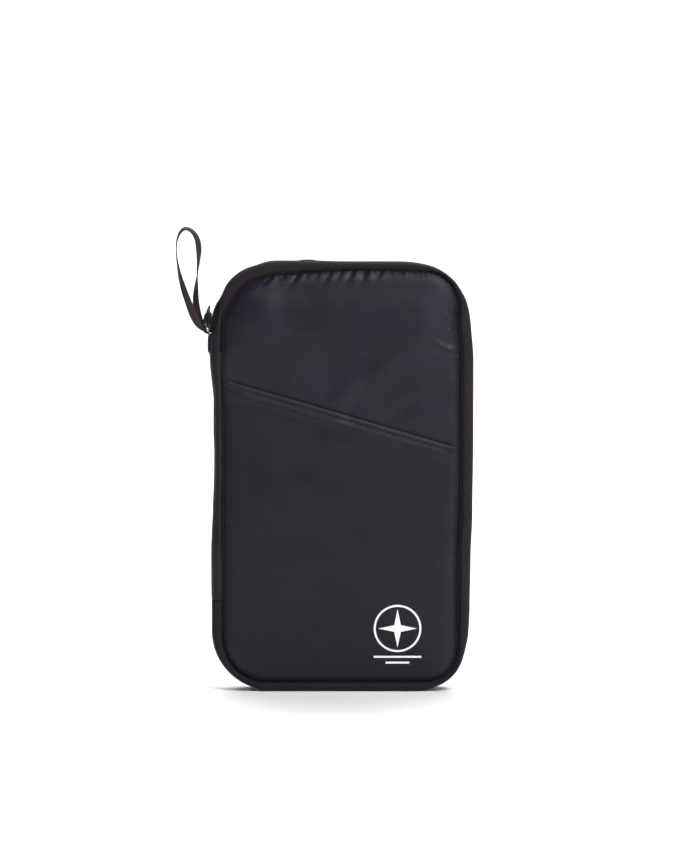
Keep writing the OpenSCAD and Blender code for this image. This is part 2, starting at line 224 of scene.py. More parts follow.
def line_distance(x, z, points):
    """Distance to a broken line, and the share of its length at the nearest place."""
    best = np.full(np.shape(x), 1e9)
    where = np.zeros(np.shape(x))
    spans = [math.dist(a, b) for a, b in zip(points[:-1], points[1:])]
    done = 0.0
    for (ax, az), (bx, bz), span in zip(points[:-1], points[1:], spans):
        t = np.clip(((x - ax) * (bx - ax) + (z - az) * (bz - az)) / span**2, 0, 1)
        d = np.hypot(x - ax - t * (bx - ax), z - az - t * (bz - az))
        where = np.where(d < best, (done + t * span) / sum(spans), where)
        best = np.minimum(d, best)
        done += span
    return best, where


# ---- mesh helpers


SHARP = math.radians(58)


def added(name, data):
    """A new object, linked to the scene."""
    obj = bpy.data.objects.new(name, data)
    bpy.context.scene.collection.objects.link(obj)
    return obj


def make_mesh(name, points, faces, uv, material):
    """A mesh object from points in millimetres; its faces are turned to point outwards."""
    mesh = bpy.data.meshes.new(name)
    mesh.from_pydata([tuple(c * MM for c in p) for p in points], [], faces)
    if uv is not None:
        layer = mesh.uv_layers.new(name="uv")
        index = np.zeros(len(mesh.loops), dtype=np.int64)
        mesh.loops.foreach_get("vertex_index", index)
        layer.data.foreach_set("uv", (np.asarray(uv, float)[index] * MM).ravel())
    work = bmesh.new()
    work.from_mesh(mesh)
    bmesh.ops.recalc_face_normals(work, faces=work.faces)
    work.to_mesh(mesh)
    work.free()
    mesh.polygons.foreach_set("use_smooth", [True] * len(mesh.polygons))
    mesh.set_sharp_from_angle(angle=SHARP)
    mesh.materials.append(material)
    return added(name, mesh)


def grid_faces(rows, cols, start=0, loop_rows=False, loop_cols=False):
    faces = []
    for i in range(rows if loop_rows else rows - 1):
        for j in range(cols if loop_cols else cols - 1):
            a = start + i * cols + j
            b = start + i * cols + (j + 1) % cols
            c = start + ((i + 1) % rows) * cols + (j + 1) % cols
            d = start + ((i + 1) % rows) * cols + j
            faces.append((a, b, c, d))
    return faces


def slab(name, outer, inner, material, uv=None):
    """A closed sheet or pad between two grids of points with the same rows and columns."""
    rows, cols = outer.shape[:2]
    count = rows * cols
    faces = grid_faces(rows, cols) + grid_faces(rows, cols, count)
    rim = list(range(cols))
    rim += [i * cols + cols - 1 for i in range(1, rows)]
    rim += [(rows - 1) * cols + j for j in range(cols - 2, -1, -1)]
    rim += [i * cols for i in range(rows - 2, 0, -1)]
    for k, a in enumerate(rim):
        b = rim[(k + 1) % len(rim)]
        faces.append((a, b, b + count, a + count))
    points = np.concatenate([outer.reshape(-1, 3), inner.reshape(-1, 3)])
    if uv is None:
        uv = outer[..., [0, 2]].reshape(-1, 2)
    return make_mesh(name, points, faces, np.concatenate([uv, uv]), material)


def tube(name, rings, material, uv=None, closed=False):
    """A closed skin over a list of rings of points."""
    rings = np.asarray(rings, float)
    rows, cols = rings.shape[:2]
    faces = grid_faces(rows, cols, loop_rows=closed, loop_cols=True)
    if not closed:
        faces.append(tuple(range(cols)))
        faces.append(tuple(range((rows - 1) * cols, rows * cols)))
    return make_mesh(name, rings.reshape(-1, 3), faces, uv, material)


def seam_point(part, t):
    """The seam point for a place on the case edge: level with it, away from the corners."""
    ex, ez = on_shape(EDGE, part, t)[:2]
    sx, sz = on_shape(SEAM, part, t)[:2]
    length = LENGTHS[part]
    level = float(smooth(0, 14, t * length) * smooth(0, 14, (1 - t) * length))
    if part in (0, 4):
        sz += (ez - sz) * level
    if part in (2, 6):
        sx += (ex - sx) * level
    return strayed(seam_warp, sx, sz)


def place(obj, body, slot, *nodes):
    """The piece rides on a body and stands for its CAD nodes, which it hides; the slot is not used."""
    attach(obj, body)
    if any(nodes):
        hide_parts(*nodes)
    return obj


def joined(name, objects, material):
    """One object from several meshes."""
    work = bmesh.new()
    for o in objects:
        work.from_mesh(o.data)
        bpy.data.objects.remove(o)
    mesh = bpy.data.meshes.new(name)
    work.to_mesh(mesh)
    work.free()
    mesh.set_sharp_from_angle(angle=SHARP)
    mesh.materials.append(material)
    return added(name, mesh)


# ---- materials


class Surface:
    """A node material that is built up step by step."""

    def __init__(self, name):
        self.material = bpy.data.materials.new(name)
        self.material.use_nodes = True
        self.tree = self.material.node_tree
        self.shader = self.tree.nodes["Principled BSDF"]

    def node(self, kind, **settings):
        n = self.tree.nodes.new(kind)
        for key, value in settings.items():
            setattr(n, key, value)
        return n

    def join(self, value, socket):
        if isinstance(value, bpy.types.NodeSocket):
            self.tree.links.new(value, socket)
        else:
            socket.default_value = value

    def math(self, operation, a, b=0.0):
        n = self.node("ShaderNodeMath", operation=operation)
        self.join(a, n.inputs[0])
        self.join(b, n.inputs[1])
        return n.outputs[0]

    def coords(self, kind):
        return self.node("ShaderNodeTexCoord").outputs[kind]

    def split(self, where):
        n = self.node("ShaderNodeSeparateXYZ")
        self.join(where, n.inputs[0])
        return n.outputs

    def noise(self, where, scale, detail=2.0, rough=0.5):
        n = self.node("ShaderNodeTexNoise")
        self.join(where, n.inputs["Vector"])
        n.inputs["Scale"].default_value = scale
        n.inputs["Detail"].default_value = detail
        n.inputs["Roughness"].default_value = rough
        return n.outputs[0]

    def ramp(self, value, low, high, to_low=0.0, to_high=1.0):
        n = self.node("ShaderNodeMapRange", interpolation_type="SMOOTHSTEP")
        self.join(value, n.inputs["Value"])
        n.inputs["From Min"].default_value = low
        n.inputs["From Max"].default_value = high
        n.inputs["To Min"].default_value = to_low
        n.inputs["To Max"].default_value = to_high
        return n.outputs["Result"]

    def mix(self, factor, a, b):
        n = self.node("ShaderNodeMix", data_type="RGBA")
        self.join(factor, n.inputs[0])
        self.join(a, n.inputs[6])
        self.join(b, n.inputs[7])
        return n.outputs[2]

    def bump(self, height, distance, strength=1.0, normal=None):
        n = self.node("ShaderNodeBump")
        self.join(height, n.inputs["Height"])
        n.inputs["Distance"].default_value = distance
        n.inputs["Strength"].default_value = strength
        if normal is not None:
            self.join(normal, n.inputs["Normal"])
        return n.outputs[0]

    def lines(self, coordinate, pitch, width):
        """1 on thin lines that repeat every pitch metres, 0 between them."""
        turn = self.math("FRACT", self.math("MULTIPLY", coordinate, 1 / pitch))
        away = self.math("ABSOLUTE", self.math("SUBTRACT", turn, 0.5))
        return self.ramp(away, 0.5 - width / pitch, 0.5 - 0.35 * width / pitch)

    def set(self, **values):
        for key, value in values.items():
            self.join(value, self.shader.inputs[key.replace("_", " ")])
        return self.material


def grey(value, tint=(1.0, 1.0)):
    """A near-grey colour from its screen value, with red and blue shares."""
    linear = ((value / 255 + 0.055) / 1.055) ** 2.4
    return (linear * tint[0], linear, linear * tint[1], 1.0)


PLUM = (1.35, 2.1)
BROWN = (1.35, 1.15)
SOOT = (1.25, 1.3)


# the level threads of the cloth's grid, in metres; they show through the print too
LEVEL_PITCH = 0.00118
LEVEL_WIDTH = 0.0004


def ripstop(name, value, tint=PLUM, rough=0.49, gloss=0.255):
    """Thin coated cloth with a fine raised grid."""
    m = Surface(name)
    where = m.coords("UV")
    split = m.split(where)
    wander = m.math("MULTIPLY", m.noise(where, 35.0, 1.0), 0.0016)
    across = m.lines(m.math("ADD", split[0], wander), 0.00122, 0.00034)
    level = m.lines(m.math("ADD", split[1], wander), LEVEL_PITCH, LEVEL_WIDTH)
    patch = m.ramp(m.noise(where, 40.0, 2.0), 0.35, 0.65, 0.2, 1.0)
    other = m.ramp(m.noise(where, 33.0, 2.0), 0.4, 0.65, 1.0, 0.3)
    grid = m.math("MAXIMUM", m.math("MULTIPLY", across, patch), m.math("MULTIPLY", level, other))
    mottle = m.noise(where, 90.0, 3.0, 0.6)
    fine = m.noise(where, 2600.0, 1.0)
    base = m.mix(m.ramp(mottle, 0.3, 0.7), grey(value * 0.97, tint), grey(value * 1.03, tint))
    base = m.mix(m.math("MULTIPLY", grid, 0.55), base, grey(value * 2.4, tint))
    bumped = m.bump(grid, 0.00009, 0.9)
    bumped = m.bump(fine, 0.00002, 0.35, bumped)
    bumped = m.bump(m.noise(where, 210.0, 2.0), 0.0001, 0.5, bumped)
    roughness = m.ramp(mottle, 0.2, 0.8, rough - 0.02, rough + 0.03)
    return m.set(
        Base_Color=base, Roughness=roughness, Specular_IOR_Level=gloss, Sheen_Weight=0.06,
        Sheen_Roughness=0.4, Normal=bumped
    )


def webbing(name, value, tint, pitch, rim_light_tint=None, rough=0.75):
    """Woven tape with ribs; away from its sewn side it may take a painted rim light, a lighter and browner
    tone.
    """
    m = Surface(name)
    where = m.coords("UV")
    along, over = m.split(where)[:2]
    wander = m.math("MULTIPLY", m.noise(where, 160.0, 1.0), 0.0004)
    rib = m.lines(m.math("ADD", along, wander), pitch, pitch * 0.5)
    thread = m.lines(m.math("ADD", over, wander), pitch * 0.8, pitch * 0.35)
    weave = m.math("ADD", m.math("MULTIPLY", rib, 0.7), m.math("MULTIPLY", thread, 0.5))
    mottle = m.noise(where, 140.0, 3.0, 0.6)
    base = m.mix(m.ramp(mottle, 0.3, 0.7), grey(value * 0.9, tint), grey(value * 1.1, tint))
    base = m.mix(m.math("MULTIPLY", weave, 0.25), base, grey(value * 1.8, tint))
    # painted rim light: the rounded outer edge, away from the seam, is coloured lighter and browner
    if rim_light_tint:
        tone = m.ramp(over, 0.0095, 0.0135, 1.0, 0.0)
        base = m.mix(m.math("MULTIPLY", tone, 0.75), base, grey(value * 1.12, rim_light_tint))
    bumped = m.bump(weave, 0.00009, 0.9)
    bumped = m.bump(m.noise(where, 1800.0, 2.0), 0.00006, 0.6, bumped)
    return m.set(
        Base_Color=base, Roughness=rough, Specular_IOR_Level=0.12, Sheen_Weight=0.03, Sheen_Roughness=0.5,
        Normal=bumped
    )


def plastic(name, value, rough):
    m = Surface(name)
    where = m.coords("Object")
    tone = m.noise(where, 700.0, 2.0)
    base = m.mix(tone, grey(value * 0.8, SOOT), grey(value * 1.3, SOOT))
    bumped = m.bump(m.noise(where, 3000.0, 1.0), 0.00002, 0.5)
    return m.set(Base_Color=base, Roughness=rough, Specular_IOR_Level=0.45, Normal=bumped)


def enamel(name, value, rough):
    """Glossy dark paint on cast metal, lighter in random patches."""
    m = Surface(name)
    where = m.coords("Object")
    tone = m.noise(where, 450.0, 3.0, 0.6)
    base = m.mix(m.ramp(tone, 0.35, 0.7), grey(value), grey(value * 1.5))
    roughness = m.ramp(m.noise(where, 900.0, 3.0), 0.3, 0.7, rough, rough + 0.12)
    bumped = m.bump(m.noise(where, 600.0, 2.0), 0.00003, 0.5)
    return m.set(
        Base_Color=base, Roughness=roughness, Specular_IOR_Level=0.6, Coat_Weight=0.8, Coat_Roughness=0.06,
        Normal=bumped
    )


def metal(name, value, rough):
    m = Surface(name)
    where = m.coords("Object")
    tone = m.noise(where, 800.0, 3.0)
    base = m.mix(tone, grey(value * 0.85), grey(value * 1.1))
    roughness = m.ramp(tone, 0.3, 0.7, rough, rough + 0.15)
    bumped = m.bump(m.noise(where, 2200.0, 2.0), 0.00002, 0.4)
    return m.set(Base_Color=base, Metallic=1.0, Roughness=roughness, Normal=bumped)


def ink(name):
    """White print that lets the cloth's grid show through."""
    m = Surface(name)
    where = m.coords("Object")
    level = m.lines(m.split(where)[2], LEVEL_PITCH, LEVEL_WIDTH)
    worn = m.ramp(m.noise(where, 1500.0, 3.0, 0.7), 0.28, 0.5)
    base = m.mix(worn, grey(225), grey(246))
    base = m.mix(m.math("MULTIPLY", level, 0.15), base, grey(205))
    return m.set(
        Base_Color=base, Roughness=0.6, Specular_IOR_Level=0.25, Normal=m.bump(level, 0.00004, 0.6)
    )


shell_cloth = ripstop("shell_cloth", 14)
pocket_cloth = ripstop("pocket_cloth", 12)
spine_cloth_look = ripstop("spine_cloth", 16, BROWN, gloss=0.2)
tab_cloth = ripstop("tab_cloth", 28, PLUM, rough=0.42, gloss=0.35)
# the zip tape's outer edge carries a painted rim light in brown
zip_cloth = webbing("zip_cloth", 25, SOOT, 0.0006, rim_light_tint=BROWN)
binding_cloth = webbing("binding_cloth", 25, SOOT, 0.0008)
ribbon_cloth = webbing("ribbon_cloth", 36, BROWN, 0.0007, rough=0.6)
lining_cloth = ripstop("lining_cloth", 44, (1.03, 1.05), rough=0.55)
sleeve_cloth = ripstop("sleeve_cloth", 30, (1.06, 1.2), rough=0.55)
mesh_thread = plastic("mesh_thread", 44, rough=0.6)
coil_plastic = plastic("coil_plastic", 18, rough=0.35)
thread_look = webbing("thread_look", 10, SOOT, 0.0004)
slider_enamel = enamel("slider_enamel", 14, 0.12)
stop_metal = metal("stop_metal", 120, 0.3)
print_ink = ink("print_ink")

# ---- the shape of the padded covers

POCKET_SLOPE = -0.293
MOUTH_Z0 = 171.0
MOUTH_X0 = -64.9


def mouth_z(x):
    """Height of the slash pocket's mouth; it dips a little as it leaves the left seam."""
    return MOUTH_Z0 + POCKET_SLOPE * (x - MOUTH_X0) + 0.9 * smooth(-58, -66, x)


# folds at the top seam: place along X, length, height and lean
TOP_FOLDS = [
    (-44.0, 4.0, 0.5, 0.8), (-36.0, 5.5, 1.1, 0.55), (-29.0, 3.0, 0.45, 0.5), (-21.5, 6.0, 1.2, 0.4),
    (-15.5, 3.0, 0.4, 0.4), (-10.4, 5.0, 0.8, 0.35), (-4.0, 8.5, 0.7, 0.3), (2.0, 6.5, 0.6, 0.3),
    (8.2, 6.5, 1.4, 0.3), (15.2, 5.0, 1.4, 0.15), (24.0, 4.0, 0.8, 0.5), (34.0, 3.0, 0.4, -0.2)
]
# creases: broken line, half width, height; a crease fades in from its first point
CREASES = [
    ([(48.0, 192.6), (54.0, 189.6), (58.0, 187.4), (65.0, 188.0)], 1.4, 2.1),
    ([(54.0, 207.0), (59.0, 204.2), (64.5, 203.0)], 1.1, 1.3), ([(56.0, 201.2), (64.5, 199.6)], 0.8, 1.0),
    ([(55.0, 198.4), (64.5, 196.4)], 0.8, 1.0), ([(57.5, 194.7), (64.5, 193.6)], 0.7, 0.8),
    ([(59.5, 182.5), (64.5, 182.8)], 0.7, 0.7), ([(59.5, 169.5), (64.5, 169.0)], 0.7, 0.6),
    ([(59.5, 176.5), (64.5, 177.2)], 0.6, 0.22), ([(60.0, 158.0), (64.5, 157.4)], 0.6, 0.2),
    ([(-60.0, 196.0), (-65.0, 199.5)], 0.8, 0.25), ([(-59.5, 181.0), (-65.0, 183.5)], 0.8, 0.22)
]
# broad folds: broken line, half width, height
BROAD = [
    ([(-50.0, 222.0), (-36.0, 203.0), (-22.0, 186.0)], 9.0, 1.5),
    ([(-34.0, 206.0), (-16.0, 180.0), (-6.0, 166.0)], 6.0, -1.0),
    ([(-1.0, 160.0), (22.0, 177.0), (50.0, 197.0)], 8.0, 1.3), ([(3.0, 152.0), (12.0, 166.0)], 4.5, -0.9),
    ([(26.0, 150.0), (42.0, 160.0), (56.0, 165.0)], 4.5, -0.8),
    ([(-62.0, 176.0), (-40.0, 168.0)], 7.0, -0.6)
]


def crown(d):
    """How far a padded cover stands out of its seam."""
    d = np.maximum(d, 0)
    return 3.0 * (1 - np.exp(-((d / 3.3) ** 1.8))) + 2.7 * (1 - np.exp(-d / 28.0))


def seam_run(x, z):
    """A running distance round the seam, for puckers that repeat along it."""
    x0, x1, z0, z1 = SEAM[:4]
    angle = np.arctan2(z - (z0 + z1) / 2, x - (x0 + x1) / 2)
    level = np.abs(np.cos(angle)) * (z1 - z0) > np.abs(np.sin(angle)) * (x1 - x0)
    return np.where(level, z, x)


def creased(y, x, z, d, rows, dent):
    """A face with its creases; dent is the share of a hollow beside each of them."""
    for points, width, height in rows:
        away, share = line_distance(x, z, points)
        fade = smooth(0.0, 0.35, share) * (1 - np.exp(-np.maximum(d, 0) / 0.8))
        y = y + height * fade * (hump(away, 0, width) - dent * hump(away, 0, 2.4 * width))
    return y


def folded(y, x, z, d, rows):
    """A face with its broad folds."""
    for points, width, height in rows:
        away = line_distance(x, z, points)[0]
        y = y + height * hump(away, 0, width) * smooth(0, 6, d)
    return y


def cover_out(x, z, side):
    """Distance of a cover's outer face from the middle plane."""
    d = inside_distance(SEAM, x, z)
    run = seam_run(x, z)
    near = np.exp(-np.maximum(d, 0) / 2.4)
    y = SEAM_Y + crown(d + 0.5 * near * smooth(0, 0.8, d) * np.sin(2.06 * run))
    seed = 11 if side == FRONT else 41
    uneven = 0.55 + 0.6 * lattice_noise(x, z, 9.0, seed)
    y = y + 0.16 * near * (1 - np.exp(-np.maximum(d, 0) / 0.7)) * uneven * np.sin(2.07 * run)
    y = y + 0.3 * lattice_noise(x, z, 44.0, seed + 1) * smooth(0, 14, d)
    y = y + 0.04 * lattice_noise(x, z, 13.0, seed + 2) * smooth(0, 8, d)
    gather = np.exp(-np.maximum(d - 1, 0) / 3.2) * smooth(0, 1.5, d)
    y = y + 0.3 * lattice_noise(run, d * 0.35, 2.6, seed + 3) * gather
    if side == BACK:
        for x0, length, height, lean in TOP_FOLDS[1::2]:
            y = y + seam_fold(-x, z, x0 + 3, length, 0.7 * height, -lean)
        return y
    for x0, length, height, lean in TOP_FOLDS:
        y = y + seam_fold(x, z, x0, length, height, lean)
    y = folded(creased(y, x, z, d, CREASES, 0.35), x, z, d, BROAD)
    y = y + 2.6 * hump(z, 207, 22) * smooth(0, 22, d)
    above = z - mouth_z(x)
    y = y - 1.5 * hump(above, 0, 11) * smooth(1, 9, d)
    y = y - 0.8 * hump(above, 0.2, 1.2) * smooth(2, 5, d)
    return y


def seam_fold(x, z, x0, length, height, lean):
    """A short fold that leaves the top seam and leans sideways as it fades."""
    depth = SEAM[3] - z
    u = x - x0 + lean * depth
    width = 0.9 + 0.28 * np.maximum(depth, 0)
    fade = np.exp(-((np.maximum(depth, 0) / length) ** 1.6)) * (1 - np.exp(-np.maximum(depth, 0) / 0.6))
    ridge = hump(u, 0, width) - 1.25 * hump(u, -1.4 * width, 0.75 * width)
    return 0.72 * height * fade * ridge


def cover_rows(shape, middle):
    """Heights of the rows of a grid over a rounded rectangle, close together at its ends."""
    z0, z1 = shape[2:4]
    top = max(shape[4:6])
    low = max(shape[6:8])
    steps = 34
    rows = [z0 + low - low * math.cos(math.pi / 2 * i / steps) for i in range(steps)]
    rows += list(np.linspace(z0 + low, z1 - top, middle))
    rows += [z1 - top + top * math.sin(math.pi / 2 * (i + 1) / steps) for i in range(steps)]
    return rows


def half_widths(shape, z):
    """Left and right ends of a rounded rectangle at a height."""
    x0, x1, z0, z1, r1, r2, r3, r4 = shape
    cuts = []
    for top, low in ((r1, r4), (r2, r3)):
        cut = 0.0
        if z > z1 - top:
            cut = top - math.sqrt(max(top**2 - (z - z1 + top) ** 2, 0))
        elif z < z0 + low:
            cut = low - math.sqrt(max(low**2 - (z0 + low - z) ** 2, 0))
        cuts.append(cut)
    return x0 + cuts[0], x1 - cuts[1]


def spread(count, tight=0.55):
    """Shares from 0 to 1 that lie closer together at both ends."""
    t = np.linspace(-1, 1, count)
    s = tight * np.sin(t * math.pi / 2) + (1 - tight) * t
    return (s + 1) / 2


def cover_grid(shape, middle, count, tight=0.55):
    """Plan positions of a grid over a rounded rectangle."""
    grid = []
    for z in cover_rows(shape, middle):
        a, b = half_widths(shape, z)
        grid.append([(a + (b - a) * u, z) for u in spread(count, tight)])
    return np.array(grid)


def stacked(plan, y, side):
    """Points from plan positions and distances from the middle plane."""
    stray_x, stray_z = seam_warp(plan[..., 0], plan[..., 1])
    return np.stack([plan[..., 0] + stray_x, side * y, plan[..., 1] + stray_z], axis=-1)


plan = cover_grid(SEAM, 150, 124)
px, pz = plan[..., 0], plan[..., 1]
pad_inside = np.full(plan.shape[:2], lining_out + 0.1)
for side, body, title in COVERS:
    outer = stacked(plan, cover_out(px, pz, side), side)
    panel = slab(title + "_cover_panel", outer, stacked(plan, pad_inside, side), shell_cloth)
    place(panel, body, "shell_fabric", title + "_shell", title + "_foam")

# ---- slash pocket

HEM_STITCH = 2.6
POCKET_BROAD = [
    ([(10.0, 70.0), (46.0, 63.0)], 6.0, 0.45), ([(46.0, 30.0), (56.0, 48.0)], 5.0, 0.35),
    ([(-40.0, 100.0), (-30.0, 60.0), (-36.0, 30.0)], 14.0, 0.45)
]
POCKET_CREASES = [
    ([(-58.0, 14.0), (-63.0, 10.0)], 0.8, 0.25), ([(-52.0, 10.5), (-56.0, 6.0)], 0.8, 0.25),
    ([(59.5, 120.5), (64.5, 121.5)], 0.6, 0.2), ([(60.0, 96.0), (64.5, 96.6)], 0.6, 0.2),
    ([(59.0, 71.0), (64.5, 72.0)], 0.6, 0.2), ([(60.0, 52.0), (64.5, 51.0)], 0.6, 0.2)
]


def pocket_lift(x, z):
    """How far the inner face of the slash pocket lies off the cover."""
    d = inside_distance(SEAM, x, z)
    drop = mouth_z(x) - z
    return (0.12 + 0.35 * np.exp(-drop / 6.0)) * smooth(0, 3, d)


def pocket_out(x, z):
    """Distance of the slash pocket's outer face from the middle plane."""
    d = inside_distance(SEAM, x, z)
    drop = np.maximum(mouth_z(x) - z, 0)
    y = cover_out(x, z, FRONT) + pocket_lift(x, z)
    y = y + 0.8 * hump(-drop, 0.2, 1.2) * smooth(2, 5, d)
    lip = 1.5
    thick = 0.45 + 0.45 * (1 - smooth(HEM_STITCH - 0.5, HEM_STITCH + 0.3, drop))
    thick = thick * np.sqrt(np.clip(1 - (1 - np.minimum(drop, lip) / lip) ** 2, 0, 1))
    y = y + thick * (0.35 + 0.65 * smooth(0, 2, d)) * (0.4 + 0.6 * smooth(2, 9, d))
    shade = (smooth(6.5, 12.0, drop) - smooth(14, 50, drop)) * (1 - 0.75 * smooth(-10, 45, x))
    y = y - 1.7 * shade * smooth(1, 14, d)
    centre = 6.4 - 0.6 * smooth(10, 60, x)
    y = y + 1.2 * hump(drop, centre, 4.0) * smooth(1, 14, d)
    y = y + 0.05 * hump(drop, HEM_STITCH, 1.6) * np.sin(2 * math.pi * x / HEM_GAP)
    y = y + 0.16 * lattice_noise(x, z, 26.0, 71) * smooth(0, 12, d)
    return creased(folded(y, x, z, d, POCKET_BROAD), x, z, d, POCKET_CREASES, 0.0)


def pocket_plan():
    """Rows follow the bottom seam, and turn to follow the mouth higher up."""
    x0, x1, z0 = SEAM[:3]
    low = max(SEAM[6:8])
    shares = spread(124)
    grid = []
    for z in cover_rows(SEAM, 8)[:34]:
        a, b = half_widths(SEAM, z)
        grid.append([(a + (b - a) * u, z) for u in shares])
    base = z0 + low
    drops = [9, 8, 7, 6.2, 5.4, 4.8, 4.3, 3.8, 3.4, 3.1, 2.8, 2.5, 2.2, 1.9, 1.6, 1.3, 1.1]
    drops += [0.85, 0.6, 0.42, 0.28, 0.16, 0.07, 0.0]
    xs = [x0 + (x1 - x0) * u for u in shares]
    for t in np.linspace(0, 1, 96):
        grid.append([(x, base + (mouth_z(x) - 10.5 - base) * t) for x in xs])
    for drop in drops:
        grid.append([(x, mouth_z(x) - drop) for x in xs])
    return np.array(grid)


plan = pocket_plan()
px, pz = plan[..., 0], plan[..., 1]
pocket = slab(
    "slash_pocket", stacked(plan, pocket_out(px, pz), FRONT),
    stacked(plan, cover_out(px, pz, FRONT) + pocket_lift(px, pz) * 0.6 - 0.05, FRONT), pocket_cloth
)
place(pocket, "front_cover", "shell_fabric", "front_pocket_panel", "front_pocket_hem")


def capsule(centre, along, out, length, width, height):
    """Points and faces of one stitch: a low rounded grain of thread."""
    along = Vector(along).normalized()
    out = Vector(out).normalized()
    over = along.cross(out)
    points = []
    for t, r in ((-0.5, 0.35), (-0.32, 0.85), (0.0, 1.0), (0.32, 0.85), (0.5, 0.35)):
        for k in range(6):
            angle = k * math.pi / 3
            p = Vector(centre) + along * (t * length)
            p += over * (0.5 * width * r * math.cos(angle)) + out * (0.5 * height * r * math.sin(angle))
            points.append(tuple(p))
    faces = grid_faces(5, 6, loop_cols=True)
    faces += [tuple(range(6)), tuple(range(24, 30))]
    return points, faces


def stitches(name, places, body, slot, length=2.1, width=0.55, height=0.5):
    """A row of stitches at (centre, direction, outward) places."""
    points = []
    faces = []
    uv = []
    for n, (centre, along, out) in enumerate(places):
        p, f = capsule(centre, along, out, length, width, height)
        faces += [tuple(i + len(points) for i in face) for face in f]
        points += p
        uv += [(n * 3 + 0.5 * (k // 6), 0.3 * (k % 6)) for k in range(len(p))]
    obj = make_mesh(name, points, faces, uv, thread_look)
    return place(obj, body, slot)


places = []
x = -62.0
while x < 62.5:
    z = float(mouth_z(x)) - HEM_STITCH
    y = float(pocket_out(np.array(x), np.array(z)))
    places.append(((x, -y - 0.02, z), (1, 0, POCKET_SLOPE), (0, -1, 0)))
    x += HEM_GAP
stitches("pocket_hem_stitches", places, "front_cover", "shell_fabric", 2.0, 0.42, 0.3)



def round_places(shape, warp, start, gap, y, out):
    """Places of the stitches that run round an outline."""
    places = []
    s = start
    while s < LOOP:
        x, z, nx, nz = outline_point(s, shape, warp)
        places.append(((x, y, z), (-nz, 0, nx), (0, out, 0)))
        s += gap
    return places


SEAM_STITCH_LINE = inset_shape(SEAM, 0.35)
for side, body, title in COVERS:
    places = round_places(SEAM_STITCH_LINE, seam_warp, 1.5, SEAM_GAP, side * (SEAM_Y + 0.15), side)
    stitches(title + "_seam_stitches", places, body, "shell_fabric")

# ---- zip tapes round the covers

# section of the tape: share of the way from the case edge to the seam, inset and y
BAND = [
    (0.0, 1.5, 0.75), (0.0, 1.5, 2.9), (0.0, 0.9, 3.15), (0.0, 0.12, 3.35), (0.0, 0.0, 3.9),
    (0.0, 0.0, 4.8), (0.0, 0.0, 5.8), (0.0, 0.02, 6.6), (0.03, 0.0, 7.5), (0.10, 0.0, 8.5),
    (0.20, 0.0, 9.25), (0.34, 0.0, 9.85), (0.50, 0.0, 10.15), (0.64, 0.0, 10.25), (0.77, 0.0, 10.1),
    (0.87, 0.0, 9.6), (0.94, 0.0, 8.9), (0.985, 0.0, 8.1), (1.0, 0.9, 7.7), (1.0, 0.9, 7.3),
    (0.9, 0.0, 7.6), (0.6, 0.0, 9.3), (0.35, 0.0, 8.95), (0.2, 0.2, 8.0), (0.1, 0.5, 6.6), (0.0, 0.75, 5.0),
    (0.0, 0.9, 3.9), (0.0, 2.1, 3.3), (0.0, 2.2, 0.75)
]

SLIDER_S = left_s(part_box("slider_body")[0].z / MM + 9.0)


def tape_shift(s, k, share, y, seed):
    """How far a point of the tape's section moves, as inset and y."""
    # the tape gives way beside the parked slider
    pinch = 3.6 * math.exp(-(((s - SLIDER_S) / 8.5) ** 4)) * (1 - share) * float(smooth(3.8, 5.0, y))
    if k > 16 or y < 6:
        return pinch, 0.0
    wave = float(lattice_noise(s, 9.0 * share, 11.0, seed))
    pucker = math.sin(2 * math.pi * s / SEAM_GAP) * 0.3 * max(0.0, share - 0.55)
    low = 0.25 + 0.75 * min(1.0, share * 4)
    return pinch, 0.28 * wave * low * share + pucker


def tape_strip(name, side, stops, seed):
    """A strip of zip tape along the case edge, with the section BAND."""
    rings = []
    uv = []
    run = [0.0]
    for a, b in zip(BAND[:-1], BAND[1:]):
        run.append(run[-1] + math.dist((7 * a[0] + a[1], a[2]), (7 * b[0] + b[1], b[2])))
    for s in stops:
        ex, ez, nx, nz = outline_point(s, EDGE, case_warp)
        sx, sz = seam_point(*station(s))
        ring = []
        for k, (share, inset, y) in enumerate(BAND):
            more_inset, more_y = tape_shift(s, k, share, y, seed)
            inset += more_inset
            y += more_y
            x = ex + share * (sx - ex) + inset * nx
            z = ez + share * (sz - ez) + inset * nz
            ring.append((x, side * y, max(z, 0.0)))
            uv.append((s, run[k]))
        rings.append(ring)
    return tube(name, rings, zip_cloth, uv)


def stops_between(a, b):
    """Stops along the case edge, about one millimetre apart."""
    return np.linspace(a, b, max(2, int(round(b - a)) + 1))


END_LOW_S = left_s(spine_high_z - 1)
for side, body, title in COVERS:
    seed = 5 if side == FRONT else 6
    tape = tape_strip(title + "_tape", side, stops_between(ZIP_START_S, ZIP_STOP_S), seed)
    place(tape, body, "zip_tape", title + "_zip_tape")
    end = tape_strip("zip_end_" + title, side, stops_between(END_LOW_S, ZIP_END_S), seed)
    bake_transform(end)
    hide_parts("zip_end_tapes")


